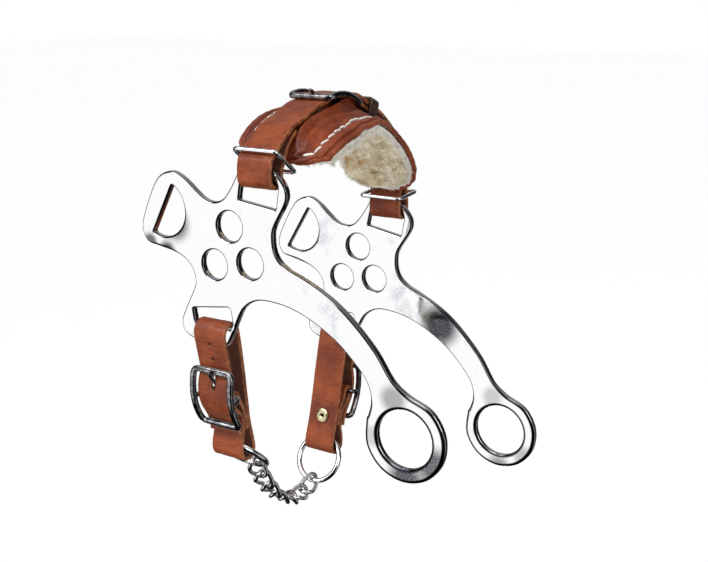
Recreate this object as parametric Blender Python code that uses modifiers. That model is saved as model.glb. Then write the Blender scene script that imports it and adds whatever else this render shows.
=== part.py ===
"""A bitless hackamore, hanging from its noseband the way it hangs from a hook.

Frame: +X runs fore and aft, towards the shanks; +Y runs from the near cheek to the far cheek; +Z is up.
The origin is where the fleece rests on the nose, in the middle of the noseband's underside.
Lengths below are in millimetres and become metres when an object is made.
"""

import math

import bmesh
import bpy
from mathutils import Matrix, Vector

MM = 0.001

# The noseband's arch, in its own plane: s runs from the near cheek to the far one, n away from the nose.
# The pad's and straps' rows below are (distance along the arch from its middle, value).
ROLL = math.radians(16.1)  # the noseband hangs with its far side low
HALF_SPAN = 60.55  # from the middle of the arch to each cheek's top bar
SEAT_N = 29.8  # height of the nose seat above the line through the two top bars
ARCH_SIDE = ((-54.6, 3), (-54.3, 7), (-52.3, 14), (-47.2, 21.8), (-39, 28.9), (-28, 34.3), (-14, 37.6))
ARCH_TOP = (0, 38.5)
PAD_THICK = 2.4
FLEECE_THICK = 5.6
FLEECE_GAP = 0.7  # free space under the pad, since the fleece bends on a tighter line
FLEECE_SHORT = 1.5  # how far inside the pad's ends and sides the fleece stops
FLEECE_NARROW = 0.8
PAD_RIGHT = (
    (-69, 8), (-68, 15), (-66, 20.5), (-61, 26), (-50, 28), (-34, 28), (-17, 25.5), (0, 24), (12, 22.5),
    (28, 21.3), (52, 21.4), (59, 20), (63, 17), (66, 12.5), (68, 8),
)  # fmt: skip
PAD_LEFT = (
    (-69, 8), (-67.5, 13), (-65, 18), (-60, 20.8), (-18, 20.5), (12, 21.5), (52, 21.4), (59, 20), (63, 17),
    (66, 12.5), (68, 8),
)  # fmt: skip
NEAR_OUTER = ((-60, 5.4), (-44, 2.4), (-29, 4.0), (-20, 6.8), (-2, 9.0), (10, 7.6), (34, 6.8))
INNER = ((0, 1.5), (1, 1.5))
FAR_OUTER = ((8, 4.6), (24, 3.9), (44, 4.0), (60, 5.4))
# How far the rims curl in towards the nose
DROOP_RIGHT = ((-69, 3), (-60, 7.5), (-34, 8.5), (-17, 6), (0, 2.2), (28, 3), (60, 3), (68, 2))
DROOP_LEFT = ((-69, 0.3), (-18, 0.5), (28, 3), (60, 3), (68, 2))

# Leather straps
STRAP_WIDE = 19.0
STRAP_THICK = 2.0
TOP_LOOP_R = 4.3  # centreline radius of the fold under a cheek's top bar
TOP_LOOP_DROP = 2.8
NEAR_LEAD = ((0.8, 9.8), (-1.7, 7.8), (-3.5, 5.2), (-4.25, 1.5))  # the outer layer above each top bar
FAR_LEAD = ((-2.2, 13), (-3.2, 8), (-4.0, 4), (-4.3, 0))
LOW_LOOP_R = 5.3  # the same over a cheek's lower bar
LOW_LOOP_RISE = 1.2

# Cheek plates, in their own plane: u towards the shank, v down, from the middle of the top round hole
PLATE_THICK = 4.0
TOP_BAR = (17.6, -27.6)
LOW_BAR = (-11.0, 55.2)
ROUND_HOLES = ((0, 0), (-9.6, 19.7), (11.8, 16.6))
ROUND_HOLE_R = 7.4
REIN_RING = (95.6, 86.3)
REIN_RING_R = 20.8
REIN_HOLE_R = 14.0
FAR_TURN = math.radians(3.12)  # the far cheek has turned this much in its strap
CHEEK_OUTLINE = (
    (-35.8, -23.4), (-44.7, -18.4), (-52.9, -2.4), (-55.2, 6.5), (-52.3, 13.0), (-45.4, 14.7), (-34, 16.7),
    (-27.2, 19.7), (-23.6, 23.7), (-22.1, 29.3), (-23.4, 33.7), (-29.7, 45.7), (-31.7, 51.4), (-30.4, 55.8),
    (-25.5, 58.9), (-15, 59.6), (-6.5, 59.9), (-2.6, 58.2), (5.2, 42.3), (8.4, 38.1), (12.8, 35.1), (19, 33.6),
    (30.3, 34.2), (40.4, 36.8), (50.5, 41.2), (60.6, 47.3), (68.2, 53.9), (74.6, 60.7), (77.7, 66.9),
    (78.0, 73.1), (76.2, 79.5),
)  # fmt: skip
SHANK_TOP = (
    (91.0, 61.4), (87.4, 57.3), (80.8, 47.9), (70.7, 37.6), (60.6, 29.4), (50.5, 23.6), (40.4, 19.2),
    (34.1, 16.9), (29.0, 13.5), (26.2, 9.3), (25.2, 3.1), (26.2, -2.6), (32.6, -13.9), (33.4, -19.0),
    (31.6, -23.3), (26.5, -28.2), (18.5, -31.4), (11.5, -32.2), (7.9, -30.2), (3.2, -21.9), (0, -16.9),
    (-3.8, -12.7), (-9.2, -11.0), (-15.7, -12.4), (-27.7, -21.0),
)  # fmt: skip
TOP_SLOT = ((6.0, -13.4), (27.1, -10.7), (29.0, -23.6), (7.6, -23.6))
LOW_SLOT = ((-24.2, 43.4), (-1.1, 40.0), (0.7, 51.2), (-22.8, 51.2))
D_SLOT = ((-34.8, -16.9), (-47.9, 7.9))

# Curb straps, down their own length (a) and outwards from the middle of the lower bar (b)
NEAR_LEAN = math.radians(10.5)
FAR_LEAN = math.radians(16.3)
RING_PIVOT_A = 64.5
BILLET_B = (
    (2, 5.3), (8, 5.2), (13, 5.0), (17, 4.9), (19.5, 5.5), (22, 7.1), (25, 8.4), (28, 9.1), (32, 9.3),
    (36, 8.7), (40, 7.3), (44, 5.7), (47.5, 4.9), (52.5, 5.0),
)  # fmt: skip
RING_PIVOT_B = 0.4
RING_FOLD = (63.5, 1.0)
RING_FOLD_R = 5.0
CHAPE_B = ((60, 5.4), (56, 3.5), (52, 1.8), (47.5, 1.4), (44, 1.6), (40.5, 3.6), (37.5, 5.4), (34.5, 6.5))
RETURN_B = ((33.5, 1.75), (36.5, 1.0), (40, -0.2), (44, -0.9), (47.5, -1.0), (52, -1.0))
INNER_B = ((59, -3.8), (54, -3.5), (50, -3.4), (44, -3.4), (32, -4.2), (22, -4.8), (12, -5.2), (2, -5.3))
RIVET_A = 48.0
RIVET_BORE_R = 2.4

# Buckles: arched frames of round bar
BAR_R = 1.2
BAR_TURN_R = 2.4  # centreline radius of a curb strap round its buckle's bar
NOSE_TURN_R = 2.5
TONGUE_R = 0.9
TONGUE_EYE_R = BAR_R + 0.25 + TONGUE_R  # a tongue's eye turns freely on its bar
CURB_TONGUE = ((-4.5, 2.3), (-6.7, 2.35), (-9.3, 3.1), (-11.8, 4.8), (-14.4, 5.75), (-16.6, 5.5))
NOSE_TONGUE = ((-6, 0.0), (-12, -0.9), (-17, -1.7), (-20.6, -1.8), (-23.6, -0.5), (-26.6, 0.9), (-29.6, 0.9))
FRAME_HALF_WIDE = 11.7
FRAME_CORNER_R = 2.2
FRAME_BOW = 3.7
CURB_TOE = (17.0, 7.5)
CURB_FOOT = (47.0, 7.5)
CURB_BAR = (32.0, 4.2)
NOSE_TOE = (-30.0, 40.7)
NOSE_BAR = (-2.0, 42.6)

# The loops that hold the straps' layers together
BILLET_KEEPER_AT = 11.0  # distance along the arch
BILLET_KEEPER_RISE = 0.9
BILLET_KEEPER_LONG = 7.0
WIRE_KEEPER_R = 1.1
WIRE_KEEPER_HALF = (12.2, 9.2)  # across the strap, and through its layers
WIRE_KEEPER_MIDDLE = (58.4, 5.3)
WIRE_KEEPER_WAY = (-17.5, -6.8)  # from the outer layer towards the inner one

# Rings and chain
RING_R = 13.2
RING_SEAT = 9.15  # from the ring's middle to the chord that bears on the strap's edges
RING_WIRE_R = 1.5
NEAR_RING_TILT = math.radians(46.6)
FAR_RING_TILT = math.radians(29.0)
LINKS = 7
LINK_LONG = 14.5  # centreline length
LINK_WIDE = 7.9
LINK_WIRE_R = 1.2
LINK_TWIST = math.radians(45)
RING_PLAY = 0.5  # free space between a ring and the first link on it
LINK_PLAY = 0.6  # and between two links
OPEN_AFTER = 4  # the chain's near half ends with this link
OPEN_PLAY = 0.5

STEEL = ((0.80, 0.80, 0.82), 1.0, 0.12)
TAN = ((0.42, 0.12, 0.04), 0.0, 0.5)
DARK_TAN = ((0.10, 0.045, 0.03), 0.0, 0.6)
WOOL = ((0.72, 0.66, 0.52), 0.0, 0.9)
BRASS = ((0.80, 0.66, 0.34), 1.0, 0.3)
NICKEL = ((0.45, 0.45, 0.46), 1.0, 0.2)

PARTS = None
CUTTERS = None


def clear_scene():
    for obj in list(bpy.data.objects):
        bpy.data.objects.remove(obj, do_unlink=True)


def new_collection(name):
    made = bpy.data.collections.new(name)
    bpy.context.scene.collection.children.link(made)
    return made


def material(name, look):
    made = bpy.data.materials.get(name)
    if made:
        return made
    color, metallic, roughness = look
    made = bpy.data.materials.new(name)
    made.use_nodes = True
    shader = made.node_tree.nodes["Principled BSDF"]
    shader.inputs["Base Color"].default_value = (*color, 1)
    shader.inputs["Metallic"].default_value = metallic
    shader.inputs["Roughness"].default_value = roughness
    made.diffuse_color = (*color, 1)
    return made


def pivot(name, place, tilt=0.0, parent=None):
    """An empty on a joint's axis; tilt turns it about X."""
    made = bpy.data.objects.new(name, None)
    made.empty_display_size = 0.01
    made.location = Vector(place) * MM
    made.rotation_euler.x = tilt
    made.parent = parent
    PARTS.objects.link(made)
    return made


def smooth(points, closed=False, steps=4):
    """A Catmull-Rom curve through the points, as a list of points."""
    points = [Vector(p) for p in points]
    count = len(points)
    result = []
    for i in range(count if closed else count - 1):
        if closed:
            p0, p1, p2, p3 = (points[(i + k) % count] for k in (-1, 0, 1, 2))
        else:
            p0, p1 = points[max(i - 1, 0)], points[i]
            p2, p3 = points[i + 1], points[min(i + 2, count - 1)]
        for k in range(steps):
            t = k / steps
            result.append(
                0.5 * (2 * p1 + (p2 - p0) * t + (2 * p0 - 5 * p1 + 4 * p2 - p3) * t**2
                       + (3 * p1 - p0 - 3 * p2 + p3) * t**3)
            )  # fmt: skip
    if not closed:
        result.append(points[-1])
    return result


def arc(center, radius, start, end, steps):
    """Points on an arc; angles in degrees, both ends included."""
    angles = (math.radians(start + (end - start) * k / steps) for k in range(steps + 1))
    return [Vector((center[0] + radius * math.cos(a), center[1] + radius * math.sin(a))) for a in angles]


def table(rows, x):
    """Smooth interpolation in rows of (x, value)."""
    if x <= rows[0][0]:
        return rows[0][1]
    for (x0, y0), (x1, y1) in zip(rows, rows[1:]):
        if x <= x1:
            t = (x - x0) / (x1 - x0)
            return y0 + (y1 - y0) * t * t * (3 - 2 * t)
    return rows[-1][1]


def both_sides(path, thick):
    """The closed outline of a strip of this thickness round its centreline."""
    left, right = [], []
    for i, point in enumerate(path):
        along = (path[min(i + 1, len(path) - 1)] - path[max(i - 1, 0)]).normalized()
        across = Vector((-along.y, along.x)) * thick / 2
        left.append(point + across)
        right.append(point - across)
    return left + right[::-1]


def rounded(corners, radius, steps=3):
    """A polygon with each corner rounded by an arc; radius holds one value per corner."""
    result = []
    for i, (corner, r) in enumerate(zip(corners, radius)):
        corner = Vector(corner)
        before = (Vector(corners[i - 1]) - corner).normalized()
        after = (Vector(corners[(i + 1) % len(corners)]) - corner).normalized()
        half = before.angle(after) / 2
        center = corner + (before + after).normalized() * r / math.sin(half)
        start = corner + before * r / math.tan(half) - center
        end = corner + after * r / math.tan(half) - center
        turn = start.angle_signed(end)
        for k in range(steps + 1):
            result.append(center + Matrix.Rotation(-turn * k / steps, 2) @ start)
    return result


def slab(name, loops, thick, look, parent=None, place=(0, 0, 0)):
    """Flat outlines in the Y-Z plane, thickened along X. Loops inside the first one are holes."""
    curve = bpy.data.curves.new(name, "CURVE")
    curve.dimensions = "2D"
    curve.fill_mode = "BOTH"
    curve.extrude = thick / 2 * MM
    for loop in loops:
        spline = curve.splines.new("POLY")
        spline.points.add(len(loop) - 1)
        for target, point in zip(spline.points, loop):
            target.co = (point[0] * MM, point[1] * MM, 0, 1)
        spline.use_cyclic_u = True
    made = bpy.data.objects.new(name, curve)
    made.location = Vector(place) * MM
    made.rotation_euler = (math.pi / 2, 0, math.pi / 2)
    made.parent = parent
    curve.materials.append(material(*look))
    PARTS.objects.link(made)
    return made


def wire(name, points, radius, look, parent=None, closed=False, sides=2):
    """Round bar along 3-D points."""
    curve = bpy.data.curves.new(name, "CURVE")
    curve.dimensions = "3D"
    curve.bevel_depth = radius * MM
    curve.bevel_resolution = sides
    curve.use_fill_caps = not closed
    spline = curve.splines.new("POLY")
    spline.points.add(len(points) - 1)
    for target, point in zip(spline.points, points):
        target.co = (*(Vector(point) * MM), 1)
    spline.use_cyclic_u = closed
    curve.materials.append(material(*look))
    made = bpy.data.objects.new(name, curve)
    made.parent = parent
    PARTS.objects.link(made)
    return made


def as_mesh(obj):
    """The same object as a welded mesh, which can be cut and joined."""
    bpy.context.view_layer.update()
    graph = bpy.context.evaluated_depsgraph_get()
    mesh = bpy.data.meshes.new_from_object(obj.evaluated_get(graph))
    work = bmesh.new()
    work.from_mesh(mesh)
    bmesh.ops.remove_doubles(work, verts=work.verts, dist=1e-6)
    bmesh.ops.recalc_face_normals(work, faces=work.faces)
    work.to_mesh(mesh)
    work.free()
    name, parent = obj.name, obj.parent
    local = obj.matrix_basis.copy()
    bpy.data.objects.remove(obj)
    made = bpy.data.objects.new(name, mesh)
    made.parent = parent
    made.matrix_basis = local
    PARTS.objects.link(made)
    return made


def combine(obj, other, operation):
    """A Boolean with a helper, which moves to the cutters."""
    PARTS.objects.unlink(other)
    CUTTERS.objects.link(other)
    other.hide_render = True
    other.display_type = "WIRE"
    modifier = obj.modifiers.new(operation.title(), "BOOLEAN")
    modifier.operation = operation
    modifier.solver = "EXACT"
    modifier.object = other


def block(name, low, high, parent):
    """A box between two corners, as a cutter."""
    mesh = bpy.data.meshes.new(name)
    work = bmesh.new()
    bmesh.ops.create_cube(work, size=1)
    low, high = Vector(low) * MM, Vector(high) * MM
    size = high - low
    bmesh.ops.scale(work, vec=size, verts=work.verts)
    bmesh.ops.translate(work, vec=(low + high) / 2, verts=work.verts)
    work.to_mesh(mesh)
    work.free()
    made = bpy.data.objects.new(name, mesh)
    made.parent = parent
    PARTS.objects.link(made)
    return made


def turned(name, profile, look, parent, place, steps=16):
    """A profile of (radius, height) pairs turned about the local Y axis."""
    mesh = bpy.data.meshes.new(name)
    points = [(r * MM, h * MM, 0) for r, h in profile]
    mesh.from_pydata(points, [(i, (i + 1) % len(points)) for i in range(len(points))], [])
    mesh.materials.append(material(*look))
    made = bpy.data.objects.new(name, mesh)
    screw = made.modifiers.new("Turn", "SCREW")
    screw.axis = "Y"
    screw.steps = steps
    screw.render_steps = steps
    screw.use_merge_vertices = True
    screw.merge_threshold = 0.00001
    made.location = Vector(place) * MM
    made.parent = parent
    PARTS.objects.link(made)
    return made


def nose(s, n):
    """A point of the noseband's arch plane as (y, z)."""
    n -= SEAT_N
    return Vector((s * math.cos(ROLL) + n * math.sin(ROLL), n * math.cos(ROLL) - s * math.sin(ROLL)))


def top_bar(side):
    """Where the cheek's top bar lies, as (y, z); side is -1 near and +1 far."""
    return nose(side * HALF_SPAN, 0)


def arch_points():
    """The arch of the pad's upper face, from the near end to the far one."""
    side = [Vector(p) for p in ARCH_SIDE]
    return smooth([*side, Vector(ARCH_TOP), *[Vector((-p.x, p.y)) for p in side[::-1]]])


def on_arch(goal, offset):
    """The point at a distance along the arch from its middle, moved outwards by an offset."""
    path = arch_points()
    lengths = [0.0]
    for a, b in zip(path, path[1:]):
        lengths.append(lengths[-1] + (b - a).length)
    goal += lengths[-1] / 2
    k = max([j for j, length in enumerate(lengths[:-1]) if length <= goal], default=0)
    t = (goal - lengths[k]) / (lengths[k + 1] - lengths[k])
    point = path[k] + (path[k + 1] - path[k]) * t
    along = (path[min(k + 2, len(path) - 1)] - path[max(k - 1, 0)]).normalized()
    return point + Vector((-along.y, along.x)) * offset


def layer(offsets, start, end, step):
    """A strap layer along the arch, as (y, z), with its offset from rows of (distance, offset)."""
    count = round(abs(end - start) / step)
    distances = [start + (end - start) * k / count for k in range(count + 1)]
    return [nose(*on_arch(d, table(offsets, d))) for d in distances]


def pad_shell(name, offset, thick, short, narrow, look):
    """A saddle-shaped sheet on the arch, thickened towards the nose; its rows lie closer towards its ends."""
    rows, columns = 40, 8
    mesh = bpy.data.meshes.new(name)
    work = bmesh.new()
    grid = []
    near_end, far_end = PAD_RIGHT[0][0], PAD_RIGHT[-1][0]
    for i in range(rows + 1):
        share = math.sin(math.pi / 2 * (2 * i / rows - 1))
        distance = (near_end + far_end) / 2 + (far_end - near_end) / 2 * share
        row = []
        for j in range(columns + 1):
            w = 2 * j / columns - 1
            reach = table(PAD_RIGHT if w > 0 else PAD_LEFT, distance) - narrow
            droop = table(DROOP_RIGHT if w > 0 else DROOP_LEFT, distance)
            y, z = nose(*on_arch(distance * (1 - short / far_end), offset - droop * w * w))
            row.append(work.verts.new(Vector((reach * w, y, z)) * MM))
        grid.append(row)
    for i in range(rows):
        for j in range(columns):
            work.faces.new((grid[i][j], grid[i][j + 1], grid[i + 1][j + 1], grid[i + 1][j]))
    work.to_mesh(mesh)
    work.free()
    mesh.materials.append(material(*look))
    made = bpy.data.objects.new(name, mesh)
    solid = made.modifiers.new("Thickness", "SOLIDIFY")
    solid.thickness = thick * MM
    solid.offset = -1
    PARTS.objects.link(made)
    return made


def fold(side, lead, loop):
    """The strap's turn under a top bar, from its outer layer to its inner one, as (y, z)."""
    y, z = top_bar(side)
    turn = arc((0, -TOP_LOOP_DROP), TOP_LOOP_R, 180, 360, loop)
    whole = [*[Vector(p) for p in lead], *turn, Vector((TOP_LOOP_R, 0.5))]
    return [Vector((y - side * p.x, z + p.y)) for p in whole]


def near_noseband_strap():
    """From the billet's tip, over the buckle's heel and toe bars, down round the near bar and back up."""
    outer = layer(NEAR_OUTER, 34, -57, 3.4)
    path = outer + fold(-1, NEAR_LEAD, 8) + layer(INNER, -66, -54, 4.0)
    strap = slab("noseband_strap_near", [both_sides(path, STRAP_THICK)], STRAP_WIDE, ("tan_leather", TAN))
    strap = as_mesh(strap)
    y, z = nose(-25.2, 41)
    hole = block("cut_near_billet_hole", (-1.5, y - 3.2, z - 4), (1.5, y + 4.4, z + 6), None)
    combine(strap, hole, "DIFFERENCE")


def far_noseband_strap():
    """From under the heel bar, round it, down round the far bar and back up."""
    turn = [nose(*p) for p in arc(NOSE_BAR, NOSE_TURN_R, 270, 90, 8)]
    under = [nose(4.6, 39.95), nose(1, 40.1)]
    outer = layer(FAR_OUTER, 8, 57, 3.4)
    path = under + turn + outer + fold(1, FAR_LEAD, 8) + layer(INNER, 66, 32, 4.4)
    strap = slab("noseband_strap_far", [both_sides(path, STRAP_THICK)], STRAP_WIDE, ("tan_leather", TAN))
    strap = as_mesh(strap)
    y, z = nose(*NOSE_BAR)
    slot = block("cut_far_chape_slot", (-1.7, y - 5, z - 4.2), (1.7, y + 5, z + 4.2), None)
    combine(strap, slot, "DIFFERENCE")


def frame_loop(toe, foot):
    """A rounded rectangle in x and along the strap, arched outwards in the middle: (x, along, outwards)."""
    half = (foot[0] - toe[0]) / 2
    middle = (foot[0] + toe[0]) / 2
    wide = FRAME_HALF_WIDE
    corners = rounded(((-wide, -half), (wide, -half), (wide, half), (-wide, half)), (FRAME_CORNER_R,) * 4)
    result = []
    for i, corner in enumerate(corners):
        after = corners[(i + 1) % len(corners)]
        for k in range(3 if (after - corner).length > 6 else 1):
            x, a = corner.lerp(after, k / 3)
            level = toe[1] + (foot[1] - toe[1]) * (a + half) / (2 * half)
            result.append((x, middle + a, level + FRAME_BOW * (1 - (a / half) ** 2)))
    return result


def cheek_outline():
    """The cheek's outer edge, with the rein ring's arc."""
    center = Vector(REIN_RING)
    first = (Vector((76.4, 80.4)) - center).angle_signed(Vector((1, 0)))
    last = (Vector((97.8, 65.6)) - center).angle_signed(Vector((1, 0)))
    start, end = math.degrees(first), math.degrees(last)
    while end > start:
        end -= 360
    ring = arc(REIN_RING, REIN_RING_R, start, end, 24)
    outline = [*CHEEK_OUTLINE, *ring[::3], *SHANK_TOP]
    return smooth(outline, closed=True, steps=3)


def cheek(name, side, swing):
    """A cheek plate: one flat pressing with a D slot, three round holes, two strap slots and a rein ring."""
    (p, q), r = D_SLOT, (Vector(D_SLOT[0]) - Vector(D_SLOT[1])).length / 2
    middle = (Vector(p) + Vector(q)) / 2
    lean = math.degrees(math.atan2(p[1] - q[1], p[0] - q[0]))
    loops = [cheek_outline(), arc(middle, r, lean, lean + 180, 14)]
    loops += [arc(c, ROUND_HOLE_R, 0, 345, 23) for c in ROUND_HOLES]
    loops.append(arc(REIN_RING, REIN_HOLE_R, 0, 345, 23))
    loops.append(rounded(TOP_SLOT, (0.8, 0.8, 2.5, 2.5)))
    loops.append(rounded(LOW_SLOT, (0.8, 1.8, 2.5, 2.5)))
    shifted = [[(p[0] - TOP_BAR[0], TOP_BAR[1] - p[1]) for p in loop] for loop in loops]
    plate = slab(name, shifted, PLATE_THICK, ("polished_steel", STEEL), swing)
    plate.rotation_euler = (math.pi / 2, 0, 0)
    if side > 0:
        plate.rotation_mode = "XYZ"
        plate.rotation_euler = (math.pi / 2, FAR_TURN, 0)


def low_bar(side):
    """Where the cheek's lower bar lies, from its top bar, as a 3-D vector."""
    across = Vector((LOW_BAR[0] - TOP_BAR[0], 0, TOP_BAR[1] - LOW_BAR[1]))
    return Matrix.Rotation(FAR_TURN if side > 0 else 0, 3, "Y") @ across


def side_view(side, points):
    """Points (a, b) of a curb strap's side view, in its pivot's Y-Z plane."""
    return [Vector((side * b, -a)) for a, b in points]


def curb_strap(name, side, swing):
    """One strap: tucked end, buckle bar, down round the ring, up, over the cheek's bar, billet."""
    path = smooth(side_view(side, RETURN_B[::-1]), steps=2)
    path += side_view(side, arc(CURB_BAR, BAR_TURN_R, 270, 90, 8))
    path += smooth(side_view(side, CHAPE_B[::-1]), steps=2)
    path += side_view(side, arc(RING_FOLD, RING_FOLD_R, 90, -90, 8))
    path += smooth(side_view(side, INNER_B), steps=2)
    path += side_view(side, arc((-LOW_LOOP_RISE, 0), LOW_LOOP_R, 270, 90, 10))
    path += smooth(side_view(side, BILLET_B), steps=3)
    strap = as_mesh(slab(name, [both_sides(path, STRAP_THICK)], STRAP_WIDE, ("tan_leather", TAN), swing))
    combine(strap, side_block(f"cut_{name}_slot", side, swing, 1.7, (26.5, -0.6), (36.5, 7.7)), "DIFFERENCE")
    combine(strap, side_block(f"cut_{name}_hole", side, swing, 1.5, (19.4, 4.2), (27.2, 11)), "DIFFERENCE")
    profile = ((0.001, 3.0), (RIVET_BORE_R, 3.0), (RIVET_BORE_R, -6.0), (0.001, -6.0))
    bore = turned(f"cut_{name}_bore", profile, ("tan_leather", TAN), swing, (0, 0, -RIVET_A))
    bore.scale.y = side
    combine(strap, bore, "DIFFERENCE")


def side_block(name, side, parent, half, low, high):
    """A cutter box in a curb strap's side view, between two (a, b) corners."""
    (a0, b0), (a1, b1) = low, high
    ys = sorted((side * b0, side * b1))
    return block(name, (-half, ys[0], -a1), (half, ys[1], -a0), parent)


def curb_buckle(name, side, swing, tongue_pivot):
    """An arched frame with a sunk centre bar, and the tongue that turns on it."""
    loop = [(x, side * b, -a) for x, a, b in frame_loop(CURB_TOE, CURB_FOOT)]
    frame = as_mesh(wire(f"{name}_frame", loop, BAR_R, ("dark_nickel", NICKEL), swing, closed=True))
    a, b = CURB_BAR
    top = CURB_TOE[1] + FRAME_BOW
    dip = [(-FRAME_HALF_WIDE, top), (-FRAME_HALF_WIDE, b + 2), (-FRAME_HALF_WIDE + 1.4, b)]
    dip += [(-x, level) for x, level in dip[::-1]]
    line = [(x, side * level, -a) for x, level in dip]
    bar = wire(f"join_{name}_bar", line, BAR_R, ("dark_nickel", NICKEL), swing)
    combine(frame, as_mesh(bar), "UNION")
    eye = arc((0, 0), TONGUE_EYE_R, -50, 150, 10)
    line = [*eye[:-1], *smooth([eye[-1], *[Vector(p) for p in CURB_TONGUE]], steps=2)]
    points = [(0, side * p.y, -p.x) for p in line]
    wire(f"{name}_tongue", points, TONGUE_R, ("dark_nickel", NICKEL), tongue_pivot)


def nose_buckle(tongue_pivot):
    """The noseband's arched buckle frame with its heel bar, and its tongue."""
    loop = [(x, *nose(s, n)) for x, s, n in frame_loop(NOSE_TOE, NOSE_BAR)]
    wire("noseband_buckle_frame", loop, BAR_R, ("dark_nickel", NICKEL), closed=True)
    eye = arc((0, 0), TONGUE_EYE_R, -130, 160, 12)
    line = [*eye[:-1], *smooth([eye[-1], *[Vector(p) for p in NOSE_TONGUE]], steps=2)]
    points = [(0, *(nose(p.x, p.y) - nose(0, 0))) for p in line]
    wire("noseband_buckle_tongue", points, TONGUE_R, ("dark_nickel", NICKEL), tongue_pivot)


def leather_keeper():
    """The loop that holds the billet's tip down on the noseband strap."""
    outside = rounded(((-11.9, 0), (11.9, 0), (11.9, 9.9), (-11.9, 9.9)), (2,) * 4)
    inside = rounded(((-10.2, 1.2), (10.2, 1.2), (10.2, 8.7), (-10.2, 8.7)), (0.8,) * 4)
    keeper = slab("noseband_billet_keeper", [outside, inside], BILLET_KEEPER_LONG, ("dark_leather", DARK_TAN))
    ahead = on_arch(BILLET_KEEPER_AT + 1.5, 0) - on_arch(BILLET_KEEPER_AT - 1.5, 0)
    keeper.rotation_euler = (math.pi / 2 - ROLL + math.atan2(ahead.y, ahead.x), 0, 0)
    keeper.location = Vector((0, *nose(*on_arch(BILLET_KEEPER_AT, BILLET_KEEPER_RISE)))) * MM


def metal_keeper(name, side):
    """A rectangular wire ring round the strap's two layers and the pad's end."""
    wide, deep = WIRE_KEEPER_HALF
    mirror = Vector((side, 1))
    middle = Vector(WIRE_KEEPER_MIDDLE) * mirror
    inwards = (Vector(WIRE_KEEPER_WAY) * mirror).normalized()
    corners = rounded(((-wide, -deep), (wide, -deep), (wide, deep), (-wide, deep)), (FRAME_CORNER_R,) * 4)
    points = [(x, *nose(*(middle + inwards * depth))) for x, depth in corners]
    wire(name, points, WIRE_KEEPER_R, ("steel_wire", STEEL), closed=True)


def ring(name, hinge):
    """A welded wire ring hanging from the pivot."""
    points = [(RING_R * math.cos(t), 0, RING_R * math.sin(t) - RING_SEAT)
              for t in (2 * math.pi * k / 28 for k in range(28))]  # fmt: skip
    wire(name, points, RING_WIRE_R, ("steel_wire", STEEL), hinge, closed=True)


def rivet(name, side, swing):
    """A tubular rivet through the curb strap's three layers; its flange faces the jaw."""
    profile = (
        (0.9, 3.4), (3.4, 3.4), (3.4, 2.9), (2.1, 2.9), (2.1, -4.75), (3.9, -4.75), (3.9, -5.4), (0.9, -5.4),
    )  # fmt: skip
    made = turned(name, profile, ("brass", BRASS), swing, (0, 0, -RIVET_A), steps=20)
    made.rotation_euler.z = 0 if side > 0 else math.pi


def hang(start, end, lengths):
    """Directions of straight links that hang between two points, as unit vectors."""
    across = Vector((end.x - start.x, end.y - start.y, 0))
    goal = Vector((across.length, end.z - start.z))

    def span(pull, lift):
        total = Vector((0, 0))
        ways = []
        for i, length in enumerate(lengths):
            way = Vector((pull, lift + i)).normalized()
            ways.append(way)
            total += way * length
        return total, ways

    pull, lift = 3.0, -4.0
    for _ in range(60):
        total, ways = span(pull, lift)
        miss = goal - total
        if miss.length < 1e-9:
            break
        d_pull = (span(pull + 1e-5, lift)[0] - total) / 1e-5
        d_lift = (span(pull, lift + 1e-5)[0] - total) / 1e-5
        det = d_pull.x * d_lift.y - d_pull.y * d_lift.x
        step = ((miss.x * d_lift.y - miss.y * d_lift.x) / det, (d_pull.x * miss.y - d_pull.y * miss.x) / det)
        scale = min(1.0, 1.0 / max(abs(step[0]), abs(step[1]), 1e-9))
        pull += step[0] * scale
        lift += step[1] * scale
    flat = across.normalized()
    return [Vector((flat.x * way.x, flat.y * way.x, way.y)) for way in ways]


def chain(start, end):
    """Seven twisted links from ring to ring."""
    ring_bite = RING_WIRE_R + LINK_WIRE_R + RING_PLAY
    link_bite = 2 * LINK_WIRE_R + LINK_PLAY
    lengths = [LINK_LONG - link_bite] * LINKS
    lengths[0] = lengths[-1] = LINK_LONG - ring_bite - link_bite / 2
    lengths[OPEN_AFTER - 1] -= OPEN_PLAY
    ways = hang(start, end, lengths)
    place = Vector(start)
    straight = (LINK_LONG - LINK_WIDE) / 2
    outline = [p + Vector((straight, 0)) for p in arc((0, 0), LINK_WIDE / 2, -90, 90, 7)]
    outline += [p - Vector((straight, 0)) for p in arc((0, 0), LINK_WIDE / 2, 90, 270, 7)]
    for i, (way, length) in enumerate(zip(ways, lengths)):
        back = ring_bite if i == 0 else link_bite / 2
        center = place + way * (LINK_LONG / 2 - back)
        sideways = way.cross(Vector((0, 0, 1))).normalized()
        turn = Matrix((way, sideways, way.cross(sideways))).transposed()
        roll = LINK_TWIST * (i - 3) / 3
        points = []
        for p in outline:
            twist = LINK_TWIST * p.x / (LINK_LONG / 2) + roll
            points.append(turn @ Vector((p.x, p.y * math.cos(twist), p.y * math.sin(twist))))
        hinge = pivot(f"chain_link_{i + 1}_pivot", place)
        made = wire(f"chain_link_{i + 1}", points, LINK_WIRE_R, ("steel_wire", STEEL), hinge, closed=True)
        made.location = (center - place) * MM
        place = place + way * length


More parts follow.
